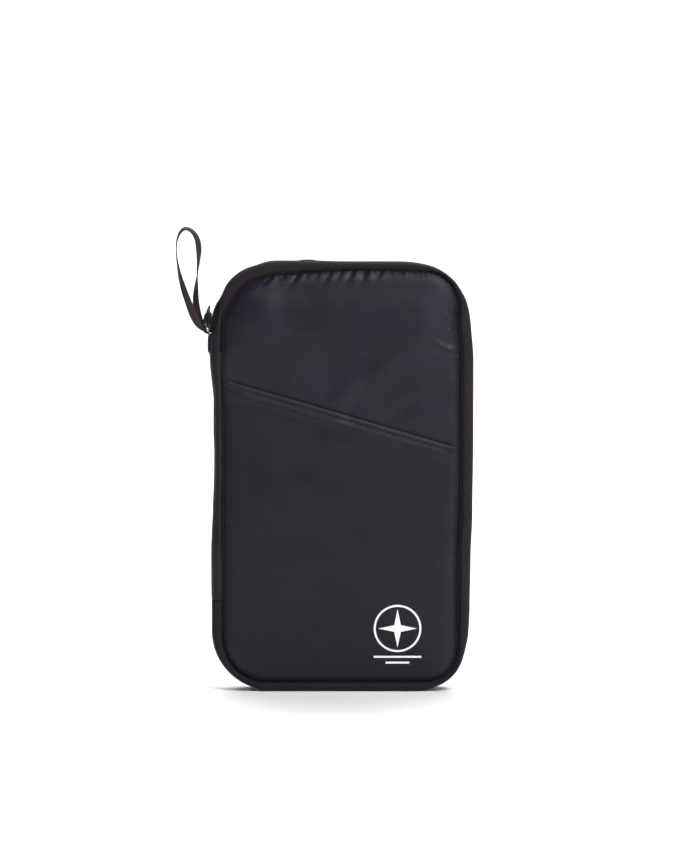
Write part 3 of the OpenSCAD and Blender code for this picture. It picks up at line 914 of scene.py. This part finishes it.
def coil(name, side, start, stop, body, replaced, proud):
    """One half of the zip's coil: a flattened helix of thick thread."""
    pitch = 1.3
    turns = int((stop - start) / pitch)
    per_turn = 10
    rings = []
    uv = []
    for n in range(turns * per_turn + 1):
        phase = 2 * math.pi * n / per_turn
        s = start + n * pitch / per_turn + 0.22 * math.sin(2 * phase)
        ex, ez, nx, nz = outline_point(s + (pitch / 2 if side == BACK else 0), EDGE, case_warp)
        stand = proud + 0.6 * math.exp(-(((s - 239) / 4) ** 4))
        inset = 0.78 - (0.6 + stand) * math.cos(phase)
        y = 1.3 - 1.45 * math.sin(phase)
        centre = Vector((ex + inset * nx, side * y, ez + inset * nz))
        tangent = Vector((-nz * 0.18, side * -math.cos(phase) * 1.12, nx * 0.18))
        tangent += Vector((nx, 0, nz)) * (0.6 * math.sin(phase))
        tangent.normalize()
        a = tangent.cross(Vector((-nz, 0, nx))).normalized()
        b = Vector((-nz, 0, nx))
        ring = []
        for k in range(6):
            angle = k * math.pi / 3
            p = centre + a * (0.27 * math.cos(angle)) + b * (0.34 * math.sin(angle))
            ring.append((p.x, p.y, max(p.z, 0.02)))
            uv.append((s, k * 0.3))
        rings.append(ring)
    place(tube(name, rings, coil_plastic, uv), body, "coil", replaced)


coil("front_coil", FRONT, ZIP_START_S, ZIP_STOP_S, "front_cover", "front_zip_coil", 0.15)
coil("back_coil", BACK, ZIP_START_S, ZIP_STOP_S, "back_cover", "back_zip_coil", 0.15)
coil("zip_end_coil_front", FRONT, left_s(spine_high_z + 1), ZIP_END_S - 0.3, "spine", "zip_end_coils", 0.0)
coil("zip_end_coil_back", BACK, left_s(spine_high_z + 1), ZIP_END_S - 0.3, "spine", "zip_end_coils", 0.0)

# ---- spine cloth and tabs

SPINE_HALF = [
    (-70.2, 0.0), (-70.2, 1.6), (-70.2, 3.2), (-70.2, 4.8), (-70.12, 5.8), (-69.9, 6.8), (-69.5, 7.8),
    (-68.9, 8.7), (-68.2, 9.4), (-67.4, 9.8), (-66.7, 9.75), (-66.1, 9.4), (-65.75, 8.9), (-65.6, 8.4),
    (-64.6, 8.2), (-64.6, 7.6), (-66.3, 7.7), (-67.4, 8.7), (-68.4, 8.0), (-69.1, 6.6), (-69.4, 5.2),
    (-69.45, 3.2), (-69.45, 0.0)
]


def spine_rings(side):
    rings = []
    uv = []
    ends = np.array([0, 0.15, 0.4, 0.8])
    middle = np.linspace(spine_low_z + 1.6, spine_high_z - 1.6, 110)
    heights = np.concatenate([spine_low_z + ends, middle, spine_high_z - ends[::-1]])
    for z in heights:
        out = 1.7 * float(smooth(134, 60, z)) + 2.0 * float(smooth(158, 182, z))
        out += 0.25 * float(lattice_noise(z, 3.0, 16.0, 23)) + 0.12 * float(lattice_noise(z, 3.0, 6.0, 24))
        edge = min(z - spine_low_z, spine_high_z - z)
        pull = 0.2 * (1 - float(smooth(0, 0.8, edge)))
        ring = []
        run = 0.0
        for k, (x, y) in enumerate(SPINE_HALF):
            shift = -out if k < 8 or k > 17 else -out * max(0.0, (13 - k) / 6)
            if k < 14:
                shift += pull
            wave = 0.0
            if 4 < k < 12:
                wave = 0.22 * float(lattice_noise(z, 1.5 * k, 9.0, 27 if side == FRONT else 28))
            pucker = 0.1 * math.sin(2 * math.pi * z / SEAM_GAP) if 8 < k < 13 else 0.0
            if k:
                run += math.dist(SPINE_HALF[k - 1], SPINE_HALF[k])
            ring.append((x + shift, side * (y + wave + pucker), z))
            uv.append((run, z))
        rings.append(ring)
    return rings, uv


for side, body, title in COVERS:
    rings, uv = spine_rings(side)
    half = tube("spine_cloth_" + title, rings, spine_cloth_look, uv)
    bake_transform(half)
    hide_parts("spine_shell", title + "_gusset")


TAB_HALF_WIDTH = 5.2


def tab(name, profile, node):
    """A folded scrap of cloth over the spine: a profile of (x, z) with round edges in y."""
    rings = []
    uv = []
    for t in spread(15, 0.85):
        y = (2 * t - 1) * TAB_HALF_WIDTH
        edge = 1 - abs(2 * t - 1)
        squeeze = 1 - 0.8 * (1 - min(1.0, edge / 0.16)) ** 2
        cx = sum(p[0] for p in profile) / len(profile)
        ring = []
        run = 0.0
        for k, (x, z) in enumerate(profile):
            ring.append((cx + 1.0 + (x - cx - 1.0) * (0.55 + 0.45 * squeeze), y, z))
            if k:
                run += math.dist(profile[k - 1], profile[k])
            uv.append((y, run))
        rings.append(ring)
    place(tube(name, rings, tab_cloth, uv), "spine", "shell_fabric", node)


TOP_TAB = [
    (-70.1, 177.0), (-71.0, 176.6), (-71.7, 177.2), (-72.0, 179.0), (-72.2, 181.5), (-72.45, 184.0),
    (-72.9, 185.2), (-73.35, 185.6), (-73.45, 187.5), (-73.45, 190.0), (-73.4, 192.8), (-73.1, 194.6),
    (-72.7, 195.3), (-72.1, 195.2), (-71.9, 193.0), (-71.8, 190.0), (-71.7, 187.5), (-70.9, 185.8),
    (-70.3, 184.0), (-70.2, 181.0)
]
tab("spine_end_tab_top", TOP_TAB, "spine_top_tab")
LOW_TAB = [
    (-70.0, 49.6), (-70.6, 49.3), (-71.2, 49.4), (-71.5, 50.2), (-71.5, 53.0), (-71.4, 57.0), (-71.3, 61.0),
    (-71.25, 64.4), (-71.0, 65.6), (-70.5, 66.2), (-70.0, 66.1), (-69.9, 62.0), (-69.9, 55.0)
]
tab("spine_end_tab_low", LOW_TAB, "spine_bottom_tab")

# ---- slider, bridge and ribbon

body_low, body_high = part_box("slider_body")
plate_x = body_low.x / MM
inner_x = body_high.x / MM
slider_z = body_low.z / MM


def plate_outline(scale):
    """Outline of a slider plate, as (y, z): broad shoulders and a rounded nose."""
    half = [
        (3.0, 0.2), (3.9, 0.9), (4.3, 2.6), (4.3, 6.4), (3.9, 8.6), (3.1, 11.2), (2.0, 13.9), (0.8, 15.4)
    ]
    corners = [(-3.0, 0.2)] + half + [(-y, z) for y, z in reversed(half[1:])]
    return [(y * scale, slider_z + 6.5 + (z - 6.5) * scale) for y, z in corners]


def plate(name, layers):
    """A plate from rings at (x, scale) layers."""
    rings = [[(x, y, z) for y, z in plate_outline(scale)] for x, scale in layers]
    return tube(name, rings, slider_enamel)


outer_layers = [
    (plate_x + 1.2, 0.9), (plate_x + 1.15, 0.97), (plate_x + 0.85, 1.0), (plate_x + 0.45, 1.0),
    (plate_x + 0.1, 0.94), (plate_x - 0.1, 0.84), (plate_x - 0.2, 0.6), (plate_x - 0.24, 0.3)
]
inner_layers = [
    (inner_x - 1.0, 0.9), (inner_x - 0.95, 0.97), (inner_x - 0.7, 1.0), (inner_x - 0.3, 1.0),
    (inner_x - 0.05, 0.94), (inner_x + 0.05, 0.8)
]
outer_plate = plate("outer_plate", outer_layers)
inner_plate = plate("inner_plate", inner_layers)


def box_rings(x0, x1, y0, y1, z0, z1, r):
    """Rings along X of a block with rounded edges."""
    rings = []
    steps = [(x0, r), (x0 + 0.3 * r, 0.4 * r), (x0 + r, 0), (x1 - r, 0), (x1 - 0.3 * r, 0.4 * r), (x1, r)]
    for x, cut in steps:
        a, b, c, d = y0 + cut, y1 - cut, z0 + cut, z1 - cut
        q = r * 0.6
        corners = [
            (a + q, c), (b - q, c), (b, c + q), (b, d - q), (b - q, d), (a + q, d), (a, d - q), (a, c + q)
        ]
        rings.append([(x, y, z) for y, z in corners])
    return rings


neck_rings = box_rings(plate_x + 0.6, inner_x - 0.4, -0.3, 0.3, slider_z + 0.3, slider_z + 4, 0.1)
neck = tube("neck", neck_rings, slider_enamel)
RAIL_ROWS = [(4.0, 2.2, 1.2), (4.05, 2.6, 1.5), (4.05, 6.4, 1.5), (3.65, 8.6, 1.7), (2.95, 11.2, 1.8)]


def flange(name, side):
    """The turned-in edge of the outer plate, which follows its outline."""
    made = []
    for out, up, deep in RAIL_ROWS:
        a, b = plate_x + 0.1, plate_x + deep
        section = [
            (a, out - 0.3), (b - 0.15, out - 0.3), (b, out - 0.15), (b, out + 0.1), (b - 0.2, out + 0.25),
            (a, out + 0.25)
        ]
        ring = [(x, side * y, slider_z + up) for x, y in section]
        made.append(ring)
    return tube(name, made, slider_enamel)


rail_front = flange("rail_front", FRONT)
rail_back = flange("rail_back", BACK)
slider = joined("slider_casting", [outer_plate, inner_plate, neck, rail_front, rail_back], slider_enamel)
place(slider, "slider", "slider_metal", "slider_body")


def smooth_path(points, closed, steps):
    """A Catmull-Rom curve through points."""
    n = len(points)
    made = []
    spans = n if closed else n - 1
    for i in range(spans):
        near = [(i + k) % n if closed else min(max(i + k, 0), n - 1) for k in (-1, 0, 1, 2)]
        a, b, c, d = [np.array(points[k], float) for k in near]
        for j in range(steps):
            t = j / steps
            bend = (2 * a - 5 * b + 4 * c - d) * t**2
            twist = (3 * b - a - 3 * c + d) * t**3
            made.append(0.5 * (2 * b + (c - a) * t + bend + twist))
    if not closed:
        made.append(np.array(points[-1], float))
    return np.array(made)


def round_turn(count, power):
    """Cosine and sine of each step round a turn; a power below 1 makes the round squarer."""
    made = []
    for k in range(count):
        c, d = math.cos(2 * math.pi * k / count), math.sin(2 * math.pi * k / count)
        made.append((math.copysign(abs(c) ** power, c), math.copysign(abs(d) ** power, d)))
    return made


def upright(name, rows, power):
    """A casting that stands on the outer plate, from rows of height, reach and half width."""
    made = []
    for up, reach, wide in rows:
        ring = []
        for c, d in round_turn(14, power):
            ring.append((plate_x + 0.2 - (reach + 0.2) * (1 + c) / 2, wide * d, slider_z + up))
        made.append(ring)
    return tube(name, made, slider_enamel)


BRIDGE_PATH = [
    (0.35, -0.2), (-0.9, 0.25), (-2.0, 0.9), (-2.3, 2.4), (-2.3, 5.0), (-1.95, 8.2), (-1.2, 10.4),
    (0.3, 11.6)
]
rings = []
path = smooth_path(BRIDGE_PATH, False, 5)
for i, p in enumerate(path):
    q = path[min(i + 1, len(path) - 1)] - path[max(i - 1, 0)]
    q = q / np.linalg.norm(q)
    side_way = np.array([-q[1], q[0]])
    share = i / (len(path) - 1)
    thick = 0.62 + 0.2 * math.sin(math.pi * share)
    wide = 1.15 + 0.35 * (2 * share - 1) ** 4
    ring = []
    for c, d in round_turn(10, 0.7):
        o = p + side_way * (thick * c)
        ring.append((plate_x + o[0], wide * d, slider_z + o[1]))
    rings.append(ring)
arch = tube("arch", rings, slider_enamel)
# the cast web closes the arch above the eye
WEB = [
    (2.85, 2.2, 0.7), (3.05, 2.8, 1.1), (4.2, 3.0, 1.35), (6.2, 3.0, 1.5), (8.2, 2.6, 1.35),
    (9.8, 2.1, 1.3), (11.2, 1.4, 1.2), (12.7, 0.9, 1.0), (14.2, 0.3, 0.7)
]
FOOT = [(-0.15, 0.8, 0.9), (0.0, 1.3, 1.15), (0.5, 1.9, 1.2), (0.95, 2.0, 1.2), (1.1, 1.7, 1.0)]
web = upright("web", WEB, 0.75)
foot = upright("foot", FOOT, 1)
boss_rings = box_rings(plate_x - 0.22, plate_x + 0.3, -1.2, 1.2, slider_z + 0.4, slider_z + 3.4, 0.1)
boss = tube("boss", boss_rings, slider_enamel)
bridge = joined("slider_bridge_cast", [arch, web, foot, boss], slider_enamel)
place(bridge, "slider", "slider_metal", "slider_bridge")

# the ribbon's route: x, y, z, width share and turn
eye_x = plate_x - 0.9
eye_z = slider_z + 1.8
RIBBON_ROUTE = [
    (eye_x, 0, eye_z, 0.26, 0), (eye_x - 0.1, -1.2, eye_z, 0.28, 0), (-75.0, -1.8, 197.5, 0.4, 0),
    (-76.6, -1.8, 198.2, 0.6, 0), (-79.2, -1.8, 201.3, 0.9, 10), (-81.6, -1.7, 206.2, 1, 10),
    (-84.0, -1.4, 212.6, 1, 20), (-86.3, -1.1, 219.1, 1, 35), (-88.8, -0.7, 228.2, 1, 65),
    (-90.2, -0.3, 237.5, 1, 85), (-90.3, -0.1, 244.0, 1, 85), (-89.3, 0, 248.4, 1, 75),
    (-87.2, 0, 251.6, 1, 65), (-84.5, 0, 252.3, 1, 65), (-81.4, 0.2, 250.4, 1, 60),
    (-79.2, 0.4, 246.8, 1, 50), (-78.3, 0.7, 241.9, 1, 45), (-78.4, 0.9, 236.0, 1, 65),
    (-79.1, 1.1, 228.2, 1, 90), (-79.7, 1.2, 221.0, 1, 120), (-80.0, 1.3, 214.5, 1, 145),
    (-79.4, 1.6, 208.0, 1, 165), (-78.0, 1.9, 202.9, 0.9, 175), (-76.3, 1.8, 199.3, 0.6, 180),
    (-75.0, 1.8, 197.6, 0.4, 180), (eye_x - 0.1, 1.2, eye_z, 0.28, 180)
]
RIBBON_W = 4.1
RIBBON_T = 0.62
# one round of the tape's section, in half widths and half thicknesses
RIBBON_SECTION = [
    (-1, 0), (-0.93, -0.8), (-0.5, -1), (0, -1), (0.5, -1), (0.93, -0.8), (1, 0), (0.93, 0.8), (0.5, 1),
    (0, 1), (-0.5, 1), (-0.93, 0.8)
]
STEPS = 7
path = smooth_path(RIBBON_ROUTE, True, STEPS)
path[:, 4] = np.clip(path[:, 4], -5, 185)
# the turn jumps from 180 back to 0 at the eye, where both say the same thing
path[-2 * STEPS :, 4] = 180
path[: 2 * STEPS, 4] = 0
count = len(path)
rings = []
uv = []
run = 0.0
for i in range(count):
    here = path[i, :3]
    along = path[(i + 1) % count, :3] - path[i - 1, :3]
    along /= np.linalg.norm(along)
    across = np.cross(along, (0, 1, 0))
    if np.linalg.norm(across) < 0.35:
        across = np.array((0.0, 0.0, -1.0))
    across /= np.linalg.norm(across)
    facing = np.cross(across, along)
    turn = math.radians(path[i, 4])
    wide = across * math.cos(turn) + facing * math.sin(turn)
    thin = np.cross(along, wide)
    thin /= np.linalg.norm(thin)
    if i:
        run += float(np.linalg.norm(here - path[i - 1, :3]))
    w = RIBBON_W * path[i, 3] / 2
    ring = []
    for a, b in RIBBON_SECTION:
        cup = 0.12 * (1 - a * a)
        ring.append(tuple(here + wide * (w * a) + thin * (RIBBON_T / 2 * b + cup)))
        uv.append((run, 1.8 + w * a))
    rings.append(ring)
ribbon = tube("ribbon_loop", rings, ribbon_cloth, uv, closed=True)
place(ribbon, "pull", "ribbon", "ribbon_pull")

# ---- printed mark


def print_patch(points_2d, faces, name):
    """Thin ink on the pocket from plan points and faces."""
    plan = np.array(points_2d)
    y = pocket_out(plan[:, 0], plan[:, 1])
    outer = [(p[0], -(float(h) + 0.07), p[1]) for p, h in zip(plan, y)]
    inner = [(p[0], -(float(h) - 0.03), p[1]) for p, h in zip(plan, y)]
    n = len(outer)
    edges = {}
    for f in faces:
        for a, b in zip(f, f[1:] + f[:1]):
            edges[(a, b)] = edges.get((a, b), 0) + 1
    closed = [tuple(f) for f in faces] + [tuple(i + n for i in reversed(f)) for f in faces]
    for a, b in edges:
        if (b, a) not in edges:
            closed.append((b, a, a + n, b + n))
    return make_mesh(name, outer + inner, closed, None, print_ink)


def flat_grid(corner_of, rows, cols, loop=False):
    span = cols if loop else cols - 1
    points = [corner_of(i / (rows - 1), j / span) for i in range(rows) for j in range(cols)]
    faces = [list(f) for f in grid_faces(rows, cols, loop_cols=loop)]
    return points, faces


MARK_X, MARK_Z = 30.0, 35.0
MARK_R = 13.0


def ring_point(i, j):
    r = MARK_R - 1.1 + 1.1 * i
    angle = 2 * math.pi * j
    return (MARK_X + r * math.cos(angle), MARK_Z + r * math.sin(angle))


def star_point(i, j):
    turn = j * 8
    k = int(turn) % 8
    f = turn - int(turn)
    radii = [MARK_R - 2.4 if n % 2 == 0 else 2.6 for n in range(9)]
    a = math.radians(45 * k)
    b = math.radians(45 * (k + 1))
    x = radii[k] * math.sin(a) * (1 - f) + radii[k + 1] * math.sin(b) * f
    z = radii[k] * math.cos(a) * (1 - f) + radii[k + 1] * math.cos(b) * f
    shrink = 0.02 + 0.98 * i
    return (MARK_X + x * shrink, MARK_Z + z * shrink)


marks = []
p, f = flat_grid(ring_point, 3, 72, loop=True)
marks.append(print_patch(p, f, "ring"))
p, f = flat_grid(star_point, 9, 48, loop=True)
f.append(list(range(47, -1, -1)))
marks.append(print_patch(p, f, "star"))
for n, (drop, wide) in enumerate(((16.2, 26.0), (19.4, 13.0))):
    p, f = flat_grid(lambda i, j: (MARK_X - wide / 2 + wide * j, MARK_Z - drop + 1.1 * i), 3, 30)
    marks.append(print_patch(p, f, "bar"))
mark = joined("printed_star", marks, print_ink)
place(mark, "front_cover", "mark_print", "printed_mark")

# ---- bindings, linings and inner pockets

# section of a binding: inset and y
BINDING = [
    (6.9, 8.9), (6.45, 8.9), (6.3, 8.0), (6.3, 7.0), (6.55, 6.45), (7.2, 6.2), (8.4, 6.15), (9.8, 6.2),
    (10.8, 6.3), (11.7, 6.38), (12.1, 6.6), (12.1, 6.95), (9.0, 6.98), (7.1, 6.98), (6.95, 7.4)
]
BINDING_STITCH_LINE = inset_shape(EDGE, 11.0)

for side, body, title in COVERS:
    stops = np.linspace(0, LOOP, 560)[:-1]
    rings = []
    uv = []
    for s in stops:
        ex, ez, nx, nz = outline_point(s, EDGE, case_warp)
        ring = []
        run = 0.0
        for k, (inset, y) in enumerate(BINDING):
            if 3 < k < 10:
                inset += 0.06 * math.sin(2 * math.pi * s / 3.0)
                y += 0.07 * math.sin(2 * math.pi * s / 3.0 + k)
            if k:
                run += math.dist(BINDING[k - 1], BINDING[k])
            ring.append((ex + inset * nx, side * y, ez + inset * nz))
            uv.append((s, run))
        rings.append(ring)
    band = tube(title + "_edge_binding", rings, binding_cloth, uv, closed=True)
    place(band, body, "zip_tape", title + "_binding")
    places = round_places(BINDING_STITCH_LINE, case_warp, 0.0, BINDING_GAP, side * 6.25, -side)
    stitches(title + "_binding_stitches", places, body, "zip_tape", 2.0, 0.4, 0.35)


def soft_sheet(name, shape, y_in, thick, side, node, look, puff, seed, rows=60, cols=60):
    """A sewn flat piece inside a cover: it swells a little towards the middle of the case."""
    plan = cover_grid(shape, rows, cols, 0.7)
    x, z = plan[..., 0], plan[..., 1]
    d = np.maximum(inside_distance(shape, x, z), 0)
    swell = puff * smooth(1.5, 10, d) + 0.16 * (1 - np.exp(-d / 0.5))
    swell = swell - 0.14 * hump(d, 1.6, 0.4)
    swell = swell + 0.14 * lattice_noise(x, z, 22.0, seed) * smooth(1, 8, d)
    inner = stacked(plan, y_in + thick - 0.2 - swell, side)
    outer = stacked(plan, np.full(x.shape, y_in + thick), side)
    obj = slab(name, inner, outer, look)
    slot = {lining_cloth: "lining_fabric", sleeve_cloth: "shell_fabric"}.get(look, "zip_tape")
    place(obj, "front_cover" if side == FRONT else "back_cover", slot, node)


INNER = inset_shape(EDGE, 7.3)
soft_sheet("front_lining_cloth", INNER, lining_in, 0.5, FRONT, "front_lining", lining_cloth, 0.12, 51)
soft_sheet("back_lining_cloth", INNER, lining_in, 0.5, BACK, "back_lining", lining_cloth, 0.12, 52)


def fitted(low_x, high_x, low_z, high_z, r_top, r_low):
    return (low_x, high_x, low_z, high_z, r_top, r_top, r_low, r_low)


soft_sheet(
    "passport_pocket_cloth", fitted(-52, 52, 14, 121.6, 3.0, 19.0), 6.35, 0.6, FRONT, "passport_pocket",
    sleeve_cloth, 0.3, 53
)
soft_sheet(
    "passport_pocket_band", fitted(-50, 50, 114.5, 122.3, 1.5, 1.5), 5.85, 0.45, FRONT,
    "passport_pocket_hem", binding_cloth, 0.05, 54, rows=8, cols=60
)
for n, (node, y_in, top) in enumerate(
    (("card_slot_upper", 6.4, 200.0), ("card_slot_middle", 5.8, 187.0), ("card_slot_lower", 5.2, 174.0))
):
    soft_sheet(
        node + "_cloth", fitted(-49, 49, 128, top, 2.5, 2.5), y_in, 0.58, FRONT, node, sleeve_cloth, 0.1,
        55 + n
    )
    soft_sheet(
        node + "_edging", fitted(-48.8, 48.8, top - 3.4, top + 0.2, 1.2, 1.2), y_in - 0.28, 0.35, FRONT,
        None, binding_cloth, 0.02, 58 + n, rows=6, cols=40
    )
soft_sheet(
    "document_sleeve_cloth", fitted(-55, 55, 14, 206, 4.0, 21.0), 6.35, 0.6, BACK, "document_sleeve",
    sleeve_cloth, 0.12, 61
)
soft_sheet(
    "document_sleeve_edging", fitted(-54.6, 54.6, 202.4, 206.3, 1.2, 1.2), 6.0, 0.4, BACK, None,
    binding_cloth, 0.02, 62, rows=6, cols=40
)
soft_sheet(
    "coin_pocket_top_band", fitted(-52, 52, 115.3, 121.6, 1.2, 1.2), 5.55, 0.8, BACK, "coin_pocket_band",
    sleeve_cloth, 0.1, 63, rows=8, cols=50
)


def pocket_net():
    """The coin pocket's open net: hexagonal cells of round thread."""
    x0, x1, z0, z1 = -51.5, 51.5, 18.5, 105.5
    y = 6.0
    cell = 1.75
    work = bmesh.new()
    seen = {}

    def corner(px, pz):
        px = min(max(px, x0), x1)
        pz = min(max(pz, z0), z1)
        key = (round(px, 2), round(pz, 2))
        if key not in seen:
            arch_x = math.sin(math.pi * (px - x0) / (x1 - x0))
            bulge = 0.5 * arch_x * math.sin(math.pi * (pz - z0) / (z1 - z0))
            seen[key] = work.verts.new((px * MM, (y - bulge) * MM, pz * MM))
        return seen[key]

    row = 0
    z = z0
    while z < z1 + cell:
        x = x0 + (0.866 * cell if row % 2 else 0)
        while x < x1 + cell:
            ring = []
            for k in range(6):
                a = math.radians(60 * k + 30)
                v = corner(x + cell * math.cos(a), z + cell * math.sin(a))
                if v not in ring:
                    ring.append(v)
            if len(ring) > 2 and work.faces.get(ring) is None:
                span_x = max(v.co.x for v in ring) - min(v.co.x for v in ring)
                span_z = max(v.co.z for v in ring) - min(v.co.z for v in ring)
                if min(span_x, span_z) > 0.3 * cell * MM:
                    work.faces.new(ring)
            x += 1.732 * cell
        z += 1.5 * cell
        row += 1
    loose = [v for v in work.verts if not v.link_faces]
    bmesh.ops.delete(work, geom=loose, context="VERTS")
    mesh = bpy.data.meshes.new("coin_pocket_net")
    work.to_mesh(mesh)
    work.free()
    obj = added("coin_pocket_net", mesh)
    wire = obj.modifiers.new("wire", "WIREFRAME")
    wire.thickness = 0.5 * MM
    wire.use_boundary = True
    wire.use_even_offset = False
    graph = bpy.context.evaluated_depsgraph_get()
    net = bpy.data.meshes.new_from_object(obj.evaluated_get(graph))
    obj.modifiers.clear()
    obj.data = net
    obj.data.polygons.foreach_set("use_smooth", [True] * len(obj.data.polygons))
    obj.data.materials.clear()
    obj.data.materials.append(mesh_thread)
    place(obj, "back_cover", "pocket_mesh", "coin_pocket_mesh")


pocket_net()
for seed, title, z0, z1 in ((65, "low", 104.4, 110.5), (66, "high", 111.5, 117.6)):
    soft_sheet(
        "coin_tape_" + title, fitted(-52, 52, z0, z1, 0.8, 0.8), 4.95, 0.5, BACK, "coin_zip_tapes",
        zip_cloth, 0.02, seed, rows=8, cols=50
    )
for edge_x in (-52.4, 50.4):
    soft_sheet(
        "coin_pocket_side_" + ("left" if edge_x < 0 else "right"),
        fitted(edge_x, edge_x + 2.0, 16.5, 104.2, 0.8, 0.8), 5.4, 0.5, BACK, None, binding_cloth, 0.02, 67,
        rows=50, cols=6
    )
soft_sheet(
    "coin_pocket_foot", fitted(-50.2, 50.2, 16.5, 19.2, 0.8, 0.8), 5.4, 0.5, BACK, None, binding_cloth,
    0.02, 68, rows=6, cols=50
)


def small_coil(name, z, flip):
    """The coin pocket's coil, one half."""
    pitch = 0.9
    per_turn = 8
    rings = []
    turns = int(96 / pitch)
    for n in range(turns * per_turn + 1):
        phase = 2 * math.pi * n / per_turn
        x = -48 + n * pitch / per_turn + 0.15 * math.sin(2 * phase)
        y = 4.55 + 0.32 * math.cos(phase)
        zz = z + flip * (0.68 - 0.5 * math.sin(phase))
        ring = []
        for k in range(5):
            angle = 2 * math.pi * k / 5
            spot = (x + 0.18 * math.cos(angle), y + 0.14 * math.sin(angle), zz + 0.1 * math.sin(angle + 1))
            ring.append(spot)
        rings.append(ring)
    place(tube(name, rings, coil_plastic), "back_cover", "coil", "coin_zip_coils")


small_coil("coin_coil_low", 110.75, -1)
small_coil("coin_coil_high", 111.25, 1)

spine_sheet_shape = fitted(-4.8, 4.8, spine_low_z + 0.4, spine_high_z - 0.4, 1.0, 1.0)
plan = cover_grid(spine_sheet_shape, 90, 12, 0.5)
wave = 0.1 * lattice_noise(plan[..., 0], plan[..., 1], 8.0, 81)
outer = np.stack([np.full(plan.shape[:2], -69.4), plan[..., 0], plan[..., 1]], axis=-1)
inner = np.stack([-68.85 + wave, plan[..., 0], plan[..., 1]], axis=-1)
obj = slab("spine_lining_cloth", outer, inner, lining_cloth, plan.reshape(-1, 2))
place(obj, "spine", "lining_fabric", "spine_lining")

# ---- CAD nodes that stay

KEPT = {
    "coin_zip_stops": stop_metal, "zip_end_stops": stop_metal, "coin_slider": slider_enamel,
    "coin_pull": slider_enamel
}
for name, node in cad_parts.items():
    node.data.materials.clear()
    node.data.materials.append(KEPT.get(name, shell_cloth))
    if name in KEPT:
        bevel = node.modifiers.new("bevel", "BEVEL")
        bevel.width = 0.00016
        bevel.segments = 3
        bevel.limit_method = "ANGLE"

# ---- floor, light and camera

stage_look = Surface("stage_look")
stage_tone = stage_look.noise(stage_look.coords("Object"), 4.0, 2.0)
stage_look.set(
    Base_Color=stage_look.mix(stage_tone, (0.90, 0.90, 0.90, 1), (0.92, 0.92, 0.92, 1)), Roughness=0.7,
    Specular_IOR_Level=0.2
)
profile = [(-2600.0, -0.2), (900.0, -0.2)]
for k in range(1, 13):
    a = math.pi / 2 * k / 12
    profile.append((900 + 900 * math.sin(a), -0.2 + 900 * (1 - math.cos(a))))
profile.append((1800.0, 3200.0))
points = [(x, y, z) for y, z in profile for x in (-3500.0, 3500.0)]
stage = make_mesh("floor_sweep", points, grid_faces(len(profile), 2), None, stage_look.material)

world = bpy.data.worlds.new("studio")
bpy.context.scene.world = world
world.use_nodes = True
world.node_tree.nodes["Background"].inputs["Color"].default_value = (1.0, 1.0, 1.0, 1.0)
world.node_tree.nodes["Background"].inputs["Strength"].default_value = 0.2


def softbox(name, spot, target, width, height, power):
    light = bpy.data.lights.new(name, "AREA")
    light.shape = "RECTANGLE"
    light.size = width
    light.size_y = height
    light.energy = power
    obj = added(name, light)
    obj.location = spot
    obj.rotation_euler = (Vector(target) - Vector(spot)).to_track_quat("-Z", "Y").to_euler()


softbox("key", (0.55, -0.72, 1.12), (0, 0, 0.13), 0.65, 0.5, 17)
softbox("right_fill", (1.4, -1.0, 0.6), (0, 0, 0.12), 0.7, 1.0, 4)
softbox("back_top", (0.0, 1.2, 2.2), (0, 1.2, 0.0), 2.6, 1.6, 70)

# the lens in millimetres, and the camera's distance and angle above level
LENS = 124.75
REACH = 1.6
TILT = math.radians(4)
camera = bpy.data.cameras.new("camera")
camera.sensor_width = 36
camera.lens = LENS
camera_obj = added("camera", camera)
aim = Vector((-0.00135, -0.010, 0.14596))
camera_obj.location = aim + Vector((0, -REACH * math.cos(TILT), REACH * math.sin(TILT)))
camera_obj.rotation_euler = (aim - camera_obj.location).to_track_quat("-Z", "Y").to_euler()
bpy.context.scene.camera = camera_obj
bpy.context.scene.view_settings.view_transform = "Standard"
